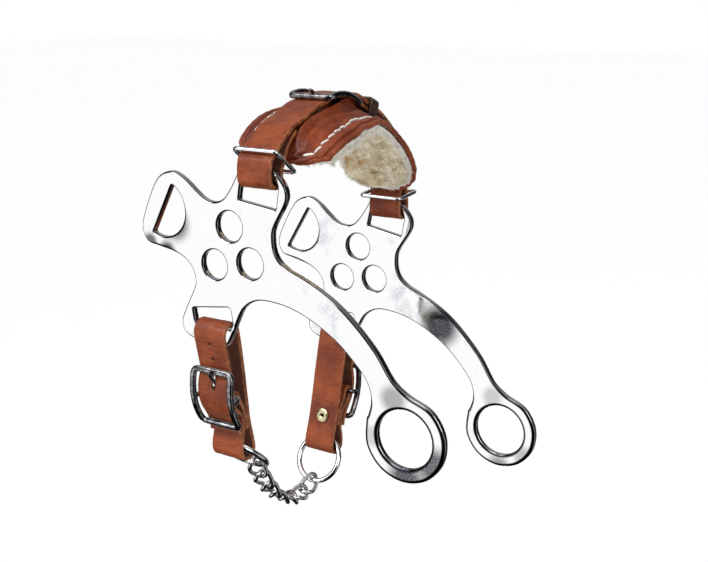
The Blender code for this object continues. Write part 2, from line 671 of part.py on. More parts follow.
def side_assembly(word, side, lean, ring_tilt):
    """A cheek with its curb strap, buckle, rivet and ring; returns where the chain joins the ring."""
    top = Vector((0, *top_bar(side)))
    swing = pivot(f"{word}_cheek_pivot", top)
    cheek(f"{word}_cheek_plate", side, swing)
    low = top + low_bar(side)
    curb = pivot(f"{word}_curb_pivot", low, -side * lean)
    curb_strap(f"{word}_curb_strap", side, curb)
    tongue_at = (0, side * CURB_BAR[1], -CURB_BAR[0])
    curb_buckle(f"{word}_curb_buckle", side, curb, pivot(f"{word}_tongue_pivot", tongue_at, 0, curb))
    rivet(f"{word}_curb_rivet", side, curb)
    down = Vector((0, -side * math.sin(lean), -math.cos(lean)))
    out = Vector((0, side * math.cos(lean), -math.sin(lean)))
    hinge = low + down * RING_PIVOT_A + out * RING_PIVOT_B
    ring(f"{word}_curb_ring", pivot(f"{word}_ring_pivot", hinge, -side * ring_tilt))
    return hinge + Vector((0, -side * math.sin(ring_tilt), -math.cos(ring_tilt))) * (RING_SEAT + RING_R)


def build():
    global PARTS, CUTTERS
    clear_scene()
    PARTS = new_collection("bitless_hackamore")
    CUTTERS = new_collection("cutters")
    pad_shell("noseband_pad", 0, PAD_THICK, 0, 0, ("tan_leather", TAN))
    under_pad = -PAD_THICK - FLEECE_GAP
    pad_shell("noseband_fleece", under_pad, FLEECE_THICK, FLEECE_SHORT, FLEECE_NARROW, ("fleece", WOOL))
    near_noseband_strap()
    far_noseband_strap()
    nose_buckle(pivot("noseband_tongue_pivot", (0, *nose(*NOSE_BAR))))
    leather_keeper()
    metal_keeper("near_strap_ring", -1)
    metal_keeper("far_strap_ring", 1)
    start = side_assembly("near", -1, NEAR_LEAN, NEAR_RING_TILT)
    end = side_assembly("far", 1, FAR_LEAN, FAR_RING_TILT)
    chain(start, end)


build()
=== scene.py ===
"""A bitless hackamore, hanging from its noseband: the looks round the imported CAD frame.

Lengths are in millimetres until a mesh is made. +X is fore and aft, +Y goes from the near cheek to the far
one, +Z is up, and the origin is where the fleece rests on the nose.
"""

import math

import bmesh
import bpy
import numpy as np
from mathutils import Matrix, Vector, geometry, noise


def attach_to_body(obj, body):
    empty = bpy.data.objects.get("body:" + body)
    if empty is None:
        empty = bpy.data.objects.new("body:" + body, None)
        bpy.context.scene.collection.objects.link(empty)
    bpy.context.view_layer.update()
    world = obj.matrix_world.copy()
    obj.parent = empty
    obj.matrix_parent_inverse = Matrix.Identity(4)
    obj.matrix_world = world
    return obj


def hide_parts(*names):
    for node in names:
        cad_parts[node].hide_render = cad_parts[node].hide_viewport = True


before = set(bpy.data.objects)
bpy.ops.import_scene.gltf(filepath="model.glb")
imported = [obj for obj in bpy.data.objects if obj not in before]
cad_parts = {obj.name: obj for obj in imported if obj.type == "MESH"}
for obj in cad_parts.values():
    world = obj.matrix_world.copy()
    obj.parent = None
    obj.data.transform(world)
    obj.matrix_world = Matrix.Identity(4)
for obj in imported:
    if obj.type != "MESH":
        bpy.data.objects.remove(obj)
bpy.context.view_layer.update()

MM = 0.001
RANDOM = np.random.default_rng(7)

# The noseband's arch, in its own plane: s runs from the near cheek to the far one, n away from the nose
ROLL = math.radians(16.1)
HALF_SPAN = 60.55
SEAT_N = 29.8
ARCH_SIDE = ((-54.6, 3), (-54.3, 7), (-52.3, 14), (-47.2, 21.8), (-39, 28.9), (-28, 34.3), (-14, 37.6))
ARCH_TOP = (0, 38.5)
PAD_THICK = 2.4
# The pad on each side of the strap, as (distance, half width), and its rims' drop, as (distance, drop)
PAD_RIGHT = (
    (-69, 8), (-68, 15), (-66, 20.5), (-61, 26), (-50, 28), (-34, 28), (-17, 25.5), (0, 24), (12, 22.5),
    (28, 21.3), (52, 21.4), (59, 20), (63, 17), (66, 12.5), (68, 8),
)  # fmt: skip
PAD_LEFT = (
    (-69, 8), (-67.5, 13), (-65, 18), (-60, 20.8), (-18, 20.5), (12, 21.5), (52, 21.4), (59, 20), (63, 17),
    (66, 12.5), (68, 8),
)  # fmt: skip
DROOP_RIGHT = ((-69, 3), (-60, 7.5), (-34, 8.5), (-17, 6), (0, 2.2), (28, 3), (60, 3), (68, 2))
DROOP_LEFT = ((-69, 0.3), (-18, 0.5), (28, 3), (60, 3), (68, 2))
# The strap's layers over the pad, as (distance from the arch's middle, offset above the pad)
NEAR_OUTER = ((-60, 5.4), (-44, 2.4), (-29, 4.0), (-20, 6.8), (-2, 9.0), (10, 7.6), (34, 6.8))
INNER = ((0, 1.5), (1, 1.5))
FAR_OUTER = ((8, 4.6), (24, 3.9), (44, 4.0), (60, 5.4))
LAYER_STEP = 1.2

# Leather straps
STRAP_WIDE = 19.0
STRAP_THICK = 2.0
STRAP_EDGE_R = 0.6
STRAP_STEP = 0.8
FACE_SWAY = 0.14
EDGE_SWAY = 0.18
TOP_LOOP_R = 4.3
TOP_LOOP_DROP = 2.8
NEAR_LEAD = ((0.8, 9.8), (-1.7, 7.8), (-3.5, 5.2), (-4.25, 1.5))
FAR_LEAD = ((-2.2, 13), (-3.2, 8), (-4.0, 4), (-4.3, 0))
LOW_LOOP_R = 5.3
LOW_LOOP_RISE = 1.2

# Cheek plates, in their own plane: u towards the shank, v down, from the middle of the top round hole
PLATE_THICK = 4.0
PLATE_ROUND = 1.15
TOP_BAR = (17.6, -27.6)
LOW_BAR = (-11.0, 55.2)
ROUND_HOLES = ((0, 0), (-9.6, 19.7), (11.8, 16.6))
ROUND_HOLE_R = 7.4
REIN_RING = (95.6, 86.3)
REIN_RING_R = 20.8
REIN_HOLE_R = 14.0
FAR_TURN = math.radians(3.12)
CHEEK_OUTLINE = (
    (-35.8, -23.4), (-44.7, -18.4), (-52.9, -2.4), (-55.2, 6.5), (-52.3, 13.0), (-45.4, 14.7), (-34, 16.7),
    (-27.2, 19.7), (-23.6, 23.7), (-22.1, 29.3), (-23.4, 33.7), (-29.7, 45.7), (-31.7, 51.4), (-30.4, 55.8),
    (-25.5, 58.9), (-15, 59.6), (-6.5, 59.9), (-2.6, 58.2), (5.2, 42.3), (8.4, 38.1), (12.8, 35.1),
    (19, 33.6), (30.3, 34.2), (40.4, 36.8), (50.5, 41.2), (60.6, 47.3), (68.2, 53.9), (74.6, 60.7),
    (77.7, 66.9), (78.0, 73.1), (76.2, 79.5),
)  # fmt: skip
SHANK_TOP = (
    (91.0, 61.4), (87.4, 57.3), (80.8, 47.9), (70.7, 37.6), (60.6, 29.4), (50.5, 23.6), (40.4, 19.2),
    (34.1, 16.9), (29.0, 13.5), (26.2, 9.3), (25.2, 3.1), (26.2, -2.6), (32.6, -13.9), (33.4, -19.0),
    (31.6, -23.3), (26.5, -28.2), (18.5, -31.4), (11.5, -32.2), (7.9, -30.2), (3.2, -21.9), (0, -16.9),
    (-3.8, -12.7), (-9.2, -11.0), (-15.7, -12.4), (-27.7, -21.0),
)  # fmt: skip
TOP_SLOT = ((6.0, -13.4), (27.1, -10.7), (29.0, -23.6), (7.6, -23.6))
LOW_SLOT = ((-24.2, 43.4), (-1.1, 40.0), (0.7, 51.2), (-22.8, 51.2))
D_SLOT = ((-34.8, -16.9), (-47.9, 7.9))
SHANK_MEETS_RING = ((76.4, 80.4), (97.8, 65.6))
REAR_ARM = (-42, 16)
REAR_OF_HOLES = (-30, 3)

# Curb straps, down their own length (a) and outwards from the middle of the lower bar (b)
LEAN = {-1: math.radians(10.5), 1: math.radians(16.3)}
RING_PIVOT_A = 64.5
RING_PIVOT_B = 0.4
BILLET_B = (
    (2, 5.3), (8, 5.2), (13, 5.0), (17, 4.9), (19.5, 5.5), (22, 7.1), (25, 8.4), (28, 9.1), (32, 9.3),
    (36, 8.7), (40, 7.3), (44, 5.7), (47.5, 4.9), (52.5, 5.0),
)  # fmt: skip
RING_FOLD = (63.5, 1.0)
RING_FOLD_R = 5.0
CHAPE_B = ((60, 5.4), (56, 3.5), (52, 1.8), (47.5, 1.4), (44, 1.6), (40.5, 3.6), (37.5, 5.4), (34.5, 6.5))
RETURN_B = ((33.5, 1.75), (36.5, 1.0), (40, -0.2), (44, -0.9), (47.5, -1.0), (52, -1.0))
INNER_B = ((59, -3.8), (54, -3.5), (50, -3.4), (44, -3.4), (32, -4.2), (22, -4.8), (12, -5.2), (2, -5.3))
RIVET_A = 48.0
# Openings in a curb strap, as (a, half length, radius, lowest b, highest b): the chape's slot, the tongue's
# hole, two spare holes, and the rivet's
CURB_HOLES = (
    (31.5, 5.0, 1.7, -0.6, 7.7),
    (23.3, 3.9, 1.45, 4.2, 11),
    (11.0, 1.3, 1.3, 2.5, 8),
    (3.0, 1.1, 1.1, 2.5, 8),
    (RIVET_A, 2.4, 2.4, -6.0, 3.0),
)

# Buckles, rings and chain
BAR_R = 1.2
TONGUE_R = 0.9
TONGUE_EYE_R = BAR_R + 0.25 + TONGUE_R
FRAME_HALF_WIDE = 11.7
FRAME_BOW = 3.7
FRAME_CORNER_R = 2.4
FRAME_SECTION = (1.5, 1.4, 3.2, 20)  # half width, half height, boxiness, points
CURB_TOE = (17.0, 7.5)
CURB_FOOT = (47.0, 7.5)
CURB_BAR = (32.0, 4.2)
NOSE_TOE = (-30.0, 40.7)
NOSE_BAR = (-2.0, 42.6)
NOSE_TURN_R = 2.5
CHAPE_END = ((4.6, 39.95), (2.8, 40.02), (1, 40.1))
CURB_TURN_R = 2.4
# The tongues' lines from their eyes to their tips
CURB_TONGUE = ((-4.5, 2.3), (-6.7, 2.35), (-9.3, 3.1), (-11.8, 4.8), (-14.4, 5.75), (-16.6, 5.5))
NOSE_TONGUE = ((-6, 0.0), (-12, -0.9), (-17, -1.7), (-20.6, -1.8), (-23.6, -0.5), (-26.6, 0.9), (-29.6, 0.9))
# Openings in the noseband strap, as (s, n, half length, radius, lowest, highest)
BILLET_HOLES = ((-24.6, 44.0, 5.0, 1.6, -6, 8), (14, 45.0, 1.4, 1.4, -6, 8))
CHAPE_SLOT = ((-3.0, 42.6, 5.6, 1.7, -5, 5),)
# Keepers: a loop is (half width, low side, high side, corner radius)
BILLET_KEEPER_AT = 11.0
BILLET_KEEPER_LOOP = (11.1, 0.6, 9.3, 1.6)
BILLET_KEEPER_SECTION = (0.72, 3.5, 7, 24)
WIRE_KEEPER_LOOP = (12.2, -9.2, 9.2, 2.2)
WIRE_KEEPER_R = 1.1
WIRE_KEEPER_AT = (58.4, 5.3)
WIRE_KEEPER_WAY = (-17.5, -6.8)
RING_R = 13.2
RING_SEAT = 9.15
RING_WIRE_R = 1.5
RING_TILT = {-1: math.radians(46.6), 1: math.radians(29.0)}
LINKS = 7
LINK_LONG = 14.5
LINK_WIDE = 7.9
LINK_WIRE_R = 1.2
LINK_TWIST = math.radians(45)
RING_PLAY = 0.5
LINK_PLAY = 0.6
OPEN_AFTER = 4
OPEN_PLAY = 0.5

X, Z = Vector((1, 0, 0)), Vector((0, 0, 1))
WORDS = {-1: "near", 1: "far"}


# ---------------------------------------------------------------- plane curves


def smooth(points, closed=False, steps=8):
    """A Catmull-Rom curve through the points."""
    p = np.asarray(points, float)
    if closed:
        before, start, after, last = np.roll(p, 1, 0), p, np.roll(p, -1, 0), np.roll(p, -2, 0)
    else:
        start, after = p[:-1], p[1:]
        before, last = np.vstack([p[:1], p[:-2]]), np.vstack([p[2:], p[-1:]])
    t = np.arange(steps)[None, :, None] / steps
    a, b, c, d = before[:, None], start[:, None], after[:, None], last[:, None]
    out = 0.5 * (2 * b + (c - a) * t + (2 * a - 5 * b + 4 * c - d) * t**2 + (3 * b - a - 3 * c + d) * t**3)
    out = out.reshape(-1, p.shape[1])
    return out if closed else np.vstack([out, p[-1:]])


def arc(center, radius, start, end, steps=24):
    """Points on an arc; angles in degrees, both ends included."""
    angles = np.radians(np.linspace(start, end, steps + 1))
    return np.array(center) + radius * np.stack([np.cos(angles), np.sin(angles)], 1)


def table(rows, x):
    """Eased interpolation in rows of (x, value)."""
    x = np.asarray(x, float)
    xs, ys = np.array(rows, float).T
    k = np.clip(np.searchsorted(xs, x) - 1, 0, len(xs) - 2)
    t = np.clip((x - xs[k]) / (xs[k + 1] - xs[k]), 0, 1)
    return ys[k] + (ys[k + 1] - ys[k]) * t * t * (3 - 2 * t)


def rounded(corners, radii, steps=6):
    """A polygon with each corner rounded by an arc."""
    result = []
    for i, (corner, r) in enumerate(zip(corners, radii)):
        corner = Vector(corner)
        before = (Vector(corners[i - 1]) - corner).normalized()
        after = (Vector(corners[(i + 1) % len(corners)]) - corner).normalized()
        half = before.angle(after) / 2
        center = corner + (before + after).normalized() * r / math.sin(half)
        start = corner + before * r / math.tan(half) - center
        turn = start.angle_signed(corner + after * r / math.tan(half) - center)
        result += [center + Matrix.Rotation(-turn * k / steps, 2) @ start for k in range(steps + 1)]
    return np.array(result)


def rectangle(half_wide, low, high, r):
    """A rectangle with rounded corners."""
    return rounded(((-half_wide, low), (half_wide, low), (half_wide, high), (-half_wide, high)), (r,) * 4)


def stadium(half_long, radius, steps):
    """Two straight sides with half-round ends."""
    straight = max(half_long - radius, 0)
    ends = arc((straight, 0), radius, -90, 90, steps), arc((-straight, 0), radius, 90, 270, steps)
    return np.vstack(ends)


def lengths_along(path):
    steps = np.linalg.norm(np.diff(path, axis=0), axis=1)
    return np.concatenate([[0], np.cumsum(steps)])


def resample(path, step, closed=False):
    """The same line with even steps."""
    path = np.asarray(path, float)
    if closed:
        path = np.vstack([path, path[:1]])
    at = lengths_along(path)
    count = max(2, round(at[-1] / step))
    goal = np.linspace(0, at[-1], count + 1)
    out = np.stack([np.interp(goal, at, path[:, k]) for k in range(path.shape[1])], 1)
    return out[:-1] if closed else out


def nose(s, n):
    """A point of the noseband's arch plane as (y, z)."""
    n = np.asarray(n, float) - SEAT_N
    s = np.asarray(s, float)
    return np.stack([s * math.cos(ROLL) + n * math.sin(ROLL), n * math.cos(ROLL) - s * math.sin(ROLL)], -1)


def arch_line():
    """The pad's upper face in the arch plane, its distances from the middle, and its normals."""
    line = smooth([*ARCH_SIDE, ARCH_TOP, *[(-s, n) for s, n in ARCH_SIDE[::-1]]], steps=12)
    at = lengths_along(line)
    along = np.gradient(line, at, axis=0)
    along /= np.linalg.norm(along, axis=1)[:, None]
    return line, at - at[-1] / 2, np.stack([-along[:, 1], along[:, 0]], 1)


ARCH, ARCH_AT, ARCH_NORMAL = arch_line()


def on_arch(distance, offset):
    """(y, z) at a distance along the arch from its middle, moved outwards by an offset."""
    s, n = (np.interp(distance, ARCH_AT, ARCH[:, k]) for k in (0, 1))
    ds, dn = (np.interp(distance, ARCH_AT, ARCH_NORMAL[:, k]) for k in (0, 1))
    return nose(s + ds * offset, n + dn * offset)


def layer(offsets, start, end):
    """A strap layer along the arch, with its offset from rows of (distance, offset)."""
    distances = np.linspace(start, end, round(abs(end - start) / LAYER_STEP) + 1)
    return on_arch(distances, table(offsets, distances))


def fold(side, lead):
    """The strap's turn under a top bar, from its outer layer to its inner one, as (y, z)."""
    y, z = nose(side * HALF_SPAN, 0)
    turn = arc((0, -TOP_LOOP_DROP), TOP_LOOP_R, 180, 360)
    whole = np.vstack([smooth(lead, steps=5), turn, [(TOP_LOOP_R, 0.5)]])
    return np.stack([y - side * whole[:, 0], z + whole[:, 1]], 1)


# ---------------------------------------------------------------- meshes


def new_object(name, data):
    made = bpy.data.objects.new(name, data)
    bpy.context.scene.collection.objects.link(made)
    return made


def face_outwards(mesh, weld=0.0):
    """Turns all faces outwards, after merging points that are closer than weld metres."""
    work = bmesh.new()
    work.from_mesh(mesh)
    if weld:
        bmesh.ops.remove_doubles(work, verts=work.verts, dist=weld)
    bmesh.ops.recalc_face_normals(work, faces=work.faces)
    work.to_mesh(mesh)
    work.free()


def mesh_object(name, verts, faces, materials, kinds=None, strap=None, matrix=None, sharp=50):
    """A mesh from points in mm; kinds is one material index per face.

    strap has each point's (along, across) in mm, and may add its nearness to a rim, from 0 to 1.
    """
    verts = np.asarray(verts, float)
    if matrix is not None:
        verts = verts @ np.array(matrix.to_3x3()).T + np.array(matrix.translation)
    mesh = bpy.data.meshes.new(name)
    mesh.from_pydata((verts * MM).tolist(), [], [list(map(int, f)) for f in faces])
    for made in materials:
        mesh.materials.append(made)
    if kinds is not None:
        mesh.polygons.foreach_set("material_index", np.asarray(kinds, np.int32))
    if strap is not None:
        values = np.zeros((len(verts), 3))
        values[:, : np.shape(strap)[1]] = strap
        values[:, :2] *= MM
        attribute = mesh.attributes.new("strap", "FLOAT_VECTOR", "POINT")
        attribute.data.foreach_set("vector", values.astype(np.float32).ravel())
    face_outwards(mesh)
    mesh.shade_smooth()
    mesh.set_sharp_from_angle(angle=math.radians(sharp))
    return new_object(name, mesh)


def grid_faces(rows, columns, wrap_rows, wrap_columns):
    """The quads of a grid of points, which may close on itself either way."""
    starts = np.arange(rows - (not wrap_rows)), np.arange(columns - (not wrap_columns))
    i, j = (index.ravel() for index in np.meshgrid(*starts, indexing="ij"))
    k, m = (i + 1) % rows, (j + 1) % columns
    return np.stack([i * columns + j, i * columns + m, k * columns + m, k * columns + j], 1)


def end_caps(rows, count):
    """A tube's first and last rings as two faces."""
    return [list(range(count))[::-1], [(rows - 1) * count + j for j in range(count)]]


def strap_map(at, section):
    """The (along, across) of every point of a swept section."""
    return np.stack([np.repeat(at, len(section)), np.tile(section[:, 0], len(at))], 1)


def tangents(path, closed):
    if closed:
        along = np.roll(path, -1, 0) - np.roll(path, 1, 0)
    else:
        along = np.gradient(path, axis=0)
    return along / np.linalg.norm(along, axis=1)[:, None]


def frames(path, closed, up=None):
    """(sides, ups) at each point; without an up direction, frames that turn as little as they can."""
    along = tangents(path, closed)
    if up is not None:
        ups = np.broadcast_to(np.asarray(up, float), path.shape)
        ups = ups - (ups * along).sum(1)[:, None] * along
        ups = ups / np.linalg.norm(ups, axis=1)[:, None]
        return np.cross(along, ups), ups
    last = np.eye(3)[np.argmin(np.abs(along[0]))]
    ups = []
    for way in along:
        last = last - way * (last @ way)
        last = last / np.linalg.norm(last)
        ups.append(last)
    ups = np.array(ups)
    if closed:
        carried = ups[-1] - along[0] * (ups[-1] @ along[0])
        side = np.cross(along[0], ups[0])
        miss = math.atan2(carried @ side, carried @ ups[0])
        turn = -miss * np.arange(len(path)) / len(path)
        sides = np.cross(along, ups)
        ups = ups * np.cos(turn)[:, None] + sides * np.sin(turn)[:, None]
    return np.cross(along, ups), ups


def oval(half_wide, half_high, power=2.0, count=14):
    """A closed section: an ellipse at power 2, boxier above."""
    t = 2 * np.pi * np.arange(count) / count
    c, s = (np.sign(k) * abs(k) ** (2 / power) for k in (np.cos(t), np.sin(t)))
    return np.stack([half_wide * c, half_high * s], 1)


def swept(path, section, closed=False, up=None, scale=None):
    """(points, faces, strap map) of a section swept along a 3-D path; scale shrinks it point by point."""
    path = np.asarray(path, float)
    sides, ups = frames(path, closed, up)
    grow = np.ones(len(path)) if scale is None else scale
    spokes = section[None, :, :1] * sides[:, None] + section[None, :, 1:] * ups[:, None]
    points = (path[:, None] + grow[:, None, None] * spokes).reshape(-1, 3)
    faces = grid_faces(len(path), len(section), closed, True).tolist()
    if not closed:
        faces += end_caps(len(path), len(section))
    return points, faces, strap_map(lengths_along(path), section)


def tube(name, path, section, look, closed=False, matrix=None, up=None, scale=None):
    points, faces, strap = swept(path, section, closed, up, scale)
    return mesh_object(name, points, faces, [look], strap=strap, matrix=matrix)


def joined(name, parts, look, matrix=None):
    """One mesh of several swept parts."""
    faces, base = [], 0
    for points, part_faces, _ in parts:
        faces += [[base + k for k in face] for face in part_faces]
        base += len(points)
    points, straps = (np.concatenate([part[k] for part in parts]) for k in (0, 2))
    return mesh_object(name, points, faces, [look], strap=straps, matrix=matrix)


def round_ends(path, radius):
    """Scale factors that round off both ends of a tube."""
    at = lengths_along(path)
    t = np.clip(np.minimum(at, at[-1] - at) / radius, 0.02, 1)
    return np.sqrt(1 - (1 - t) ** 2)


def turned(name, profile, look, matrix, steps=40):
    """A closed profile of (radius, height) turned about local Y."""
    t = 2 * np.pi * np.arange(steps) / steps
    radius, height = np.asarray(profile, float).T
    x, y, z = np.outer(np.cos(t), radius), np.tile(height, (steps, 1)), np.outer(np.sin(t), radius)
    faces = grid_faces(steps, len(profile), True, True)
    points = np.stack([x, y, z], -1).reshape(-1, 3)
    return mesh_object(name, points, faces, [look], matrix=matrix, sharp=35)


def cut(obj, cutters):
    """Takes the cutters out of a mesh for good."""
    for cutter in cutters:
        modifier = obj.modifiers.new("Cut", "BOOLEAN")
        modifier.operation = "DIFFERENCE"
        modifier.solver = "EXACT"
        modifier.object = cutter
    bpy.context.view_layer.update()
    graph = bpy.context.evaluated_depsgraph_get()
    mesh = bpy.data.meshes.new_from_object(obj.evaluated_get(graph))
    obj.modifiers.clear()
    obj.data = mesh
    for cutter in cutters:
        bpy.data.objects.remove(cutter)


def pin(matrix, half_long, radius, low, high):
    """A cutter with a stadium outline: long down the matrix's Z, and from low to high on its Y."""
    loop = stadium(half_long, radius, 10)
    points = [(across, height, along) for height in (low, high) for along, across in loop]
    faces = grid_faces(2, len(loop), False, True).tolist() + end_caps(2, len(loop))
    made = mesh_object("cutter", points, faces, [EDGE], matrix=matrix)
    made.hide_render = True
    return made


# ---------------------------------------------------------------- materials


def fill(tree, node, inputs):
    """Links each input whose value is a socket, and sets the others."""
    for key, value in inputs.items():
        if isinstance(value, bpy.types.NodeSocket):
            tree.links.new(value, node.inputs[key])
        else:
            node.inputs[key].default_value = value


def add_node(tree, kind, inputs=None, **settings):
    made = tree.nodes.new(kind)
    for key, value in settings.items():
        setattr(made, key, value)
    fill(tree, made, inputs or {})
    return made


def with_alpha(value):
    """A colour with its alpha, or the socket as it is."""
    return value if isinstance(value, bpy.types.NodeSocket) else (*value, 1)


class Look:
    """A material under construction: short names for the nodes that the finishes share."""

    def __init__(self, name):
        self.made = bpy.data.materials.new(name)
        self.made.use_nodes = True
        self.tree = self.made.node_tree
        self.place = self.node("ShaderNodeTexCoord").outputs["Object"]

    def node(self, kind, inputs=None, **settings):
        return add_node(self.tree, kind, inputs, **settings)

    def noise(self, scale, detail=3.0, rough=0.55, where=None, distortion=0.0):
        inputs = {"Scale": scale, "Detail": detail, "Roughness": rough, "Distortion": distortion}
        return self.node("ShaderNodeTexNoise", {"Vector": where or self.place, **inputs}).outputs["Fac"]

    def cells(self, scale, feature="F1", where=None):
        inputs = {"Vector": where or self.place, "Scale": scale}
        return self.node("ShaderNodeTexVoronoi", inputs, feature=feature).outputs["Distance"]

    def stretched(self, source, scale):
        return self.node("ShaderNodeMapping", {"Vector": source, "Scale": scale}).outputs["Vector"]

    def vector(self, operation, inputs):
        return self.node("ShaderNodeVectorMath", inputs, operation=operation).outputs

    def strap(self):
        return self.node("ShaderNodeAttribute", attribute_name="strap").outputs["Vector"]

    def rim(self):
        """How near a point is to its piece's rim, from 0 to 1."""
        return self.node("ShaderNodeSeparateXYZ", {0: self.strap()}).outputs["Z"]

    def ramp(self, value, low, high, to_low=0.0, to_high=1.0):
        inputs = {0: value, 1: low, 2: high, 3: to_low, 4: to_high}
        return self.node("ShaderNodeMapRange", inputs, interpolation_type="SMOOTHSTEP").outputs[0]

    def math(self, operation, a, b):
        return self.node("ShaderNodeMath", {0: a, 1: b}, operation=operation).outputs[0]

    def mix(self, share, a, b):
        inputs = {0: share, 6: with_alpha(a), 7: with_alpha(b)}
        return self.node("ShaderNodeMix", inputs, data_type="RGBA").outputs[2]

    def bump(self, height, strength, distance_mm, under=None):
        inputs = {"Height": height, "Strength": strength, "Distance": distance_mm * MM}
        if under is not None:
            inputs["Normal"] = under
        return self.node("ShaderNodeBump", inputs).outputs["Normal"]

    def finish(self, color, rough, normal=None, **fixed):
        inputs = {"Base Color": with_alpha(color), "Roughness": rough}
        if normal is not None:
            inputs["Normal"] = normal
        inputs.update({name.replace("_", " "): value for name, value in fixed.items()})
        fill(self.tree, self.tree.nodes["Principled BSDF"], inputs)
        return self.made


def paint_dark_reflections(look, color, patches):
    """Paints dark reflections into a plate's colour: a near-black band on its rounded edges, and painted
    shade in its patches given as (u, v, radius, depth).
    """
    edge = look.rim()
    # painted reflection: a near-black band on the rounded edges, weaker on the flat side wall, stands for the
    # dark room mirrored there
    rim = look.math("MULTIPLY", look.ramp(edge, 0.3, 0.65, 0.0, 0.93), look.ramp(edge, 0.85, 1.0, 1.0, 0.45))
    color = look.mix(rim, color, (0.015, 0.015, 0.02))
    speckle = look.ramp(look.noise(1900, 3, 0.8), 0.3, 0.52, 0.45, 1.0)
    plan = look.vector("MULTIPLY", {0: look.strap(), 1: (1, 1, 0)})[0]
    # painted shade: dark patches by the D slot, the rear arm, the shank and round the rein hole, standing in
    # for rounded metal turned away from the light
    for u, v, radius, depth in patches:
        apart = look.vector("DISTANCE", {0: plan, 1: (u * MM, v * MM, 0)})["Value"]
        near = look.ramp(apart, radius * MM * 0.35, radius * MM, depth, 0.0)
        color = look.mix(look.math("MULTIPLY", near, speckle), color, (0.02, 0.02, 0.028))
    return color


def chrome(name, tone=(0.93, 0.93, 0.95), stain=(0.55, 0.56, 0.6), rough=(0.045, 0.16), wave=0.25, painted_shade_patches=()):
    """Polished plating over an uneven pressing, with stippled, duller patches; painted dark reflections and
    shade on the plate's edges and patches when they are given.
    """
    look = Look(name)
    patches = look.ramp(look.noise(38, 4, 0.6), 0.56, 0.7)
    stipple = look.noise(1500, 4, 0.7)
    dull = look.math("MULTIPLY", patches, look.ramp(stipple, 0.4, 0.62))
    color = look.mix(dull, tone, stain)
    if painted_shade_patches:
        color = paint_dark_reflections(look, color, painted_shade_patches)
    cloudy = look.ramp(look.noise(160, 5, 0.7), 0.35, 0.75, *rough)
    gloss = look.math("ADD", cloudy, look.math("MULTIPLY", dull, 0.12))
    fine = look.bump(look.noise(900, 3, 0.6), 0.12, 0.03)
    scratches = look.noise(1.0, 2, 0.5, where=look.stretched(look.place, (260, 260, 4200)))
    fine = look.bump(scratches, 0.05, 0.02, fine)
    waves = look.bump(look.noise(70, 2, 0.5), wave, 0.45, fine)
    pits = look.bump(look.math("MULTIPLY", dull, stipple), 0.35, 0.12, waves)
    return look.finish(color, gloss, pits, Metallic=1.0)


def dark_nickel(name):
    """Smoky polished nickel, brighter where it has rubbed."""
    look = Look(name)
    rubbed = look.ramp(look.noise(300, 4, 0.6), 0.42, 0.68)
    color = look.mix(rubbed, (0.13, 0.127, 0.135), (0.46, 0.45, 0.46))
    gloss = look.ramp(look.noise(700, 5, 0.7), 0.3, 0.8, 0.07, 0.24)
    fine = look.bump(look.noise(1600, 3, 0.6), 0.14, 0.03)
    waves = look.bump(look.noise(240, 2, 0.5), 0.18, 0.25, fine)
    return look.finish(color, gloss, waves, Metallic=1.0)


def brass(name):
    look = Look(name)
    rubbed = look.ramp(look.noise(500, 4, 0.6), 0.35, 0.7)
    color = look.mix(rubbed, (0.58, 0.5, 0.25), (0.86, 0.8, 0.52))
    gloss = look.ramp(look.noise(1200, 4, 0.7), 0.3, 0.75, 0.22, 0.42)
    spun = look.bump(look.noise(2400, 2, 0.6), 0.2, 0.04)
    return look.finish(color, gloss, spun, Metallic=1.0)


def leather(name, light, dark, worn, gloss=(0.34, 0.52), crease=0.7, flat=False):
    """Oiled leather: cloudy dye, pores, pale rubbed spots, and fine creases across a strap or a sheet, with
    painted shade darkening the creases.
    """
    look = Look(name)
    clouds = look.ramp(look.noise(55, 5, 0.62), 0.32, 0.7)
    color = look.mix(clouds, dark, light)
    specks = look.ramp(look.noise(1100, 4, 0.7), 0.35, 0.72)
    color = look.mix(look.math("MULTIPLY", specks, 0.35), color, dark)
    rubs = look.ramp(look.noise(210, 6, 0.72), 0.58, 0.78)
    color = look.mix(look.math("MULTIPLY", rubs, 0.55), color, worn)
    base, scale = (look.place, (160, 700, 160)) if flat else (look.strap(), (900, 110, 900))
    lines = look.noise(1.0, 5, 0.65, where=look.stretched(base, scale), distortion=0.8)
    folds = look.ramp(lines, 0.52, 0.66)
    # painted shade: the colour is darkened along the creases
    color = look.mix(look.math("MULTIPLY", folds, 0.42), color, dark)
    cloudy = look.ramp(look.noise(420, 4, 0.6), 0.3, 0.75, *gloss)
    rough = look.math("ADD", cloudy, look.math("MULTIPLY", folds, 0.06))
    pores = look.bump(look.cells(1500), 0.3, 0.08)
    grain = look.bump(look.noise(2300, 4, 0.7), 0.25, 0.06, pores)
    wrinkles = look.bump(look.math("SUBTRACT", 1.0, folds), crease, 0.16, grain)
    waves = look.bump(look.noise(120, 3, 0.5), 0.35, 0.5, wrinkles)
    return look.finish(color, rough, waves, Specular_IOR_Level=0.38)


def flesh_leather(name):
    """The unfinished side: dark, matt and fibrous."""
    look = Look(name)
    fibres = look.noise(1.0, 6, 0.75, where=look.stretched(look.place, (900, 500, 700)), distortion=1.5)
    color = look.mix(look.ramp(fibres, 0.3, 0.72), (0.055, 0.014, 0.006), (0.2, 0.062, 0.024))
    fuzz = look.bump(fibres, 0.9, 0.3)
    fuzz = look.bump(look.noise(3000, 3), 0.5, 0.1, fuzz)
    return look.finish(color, look.ramp(fibres, 0.3, 0.7, 0.72, 0.95), fuzz)


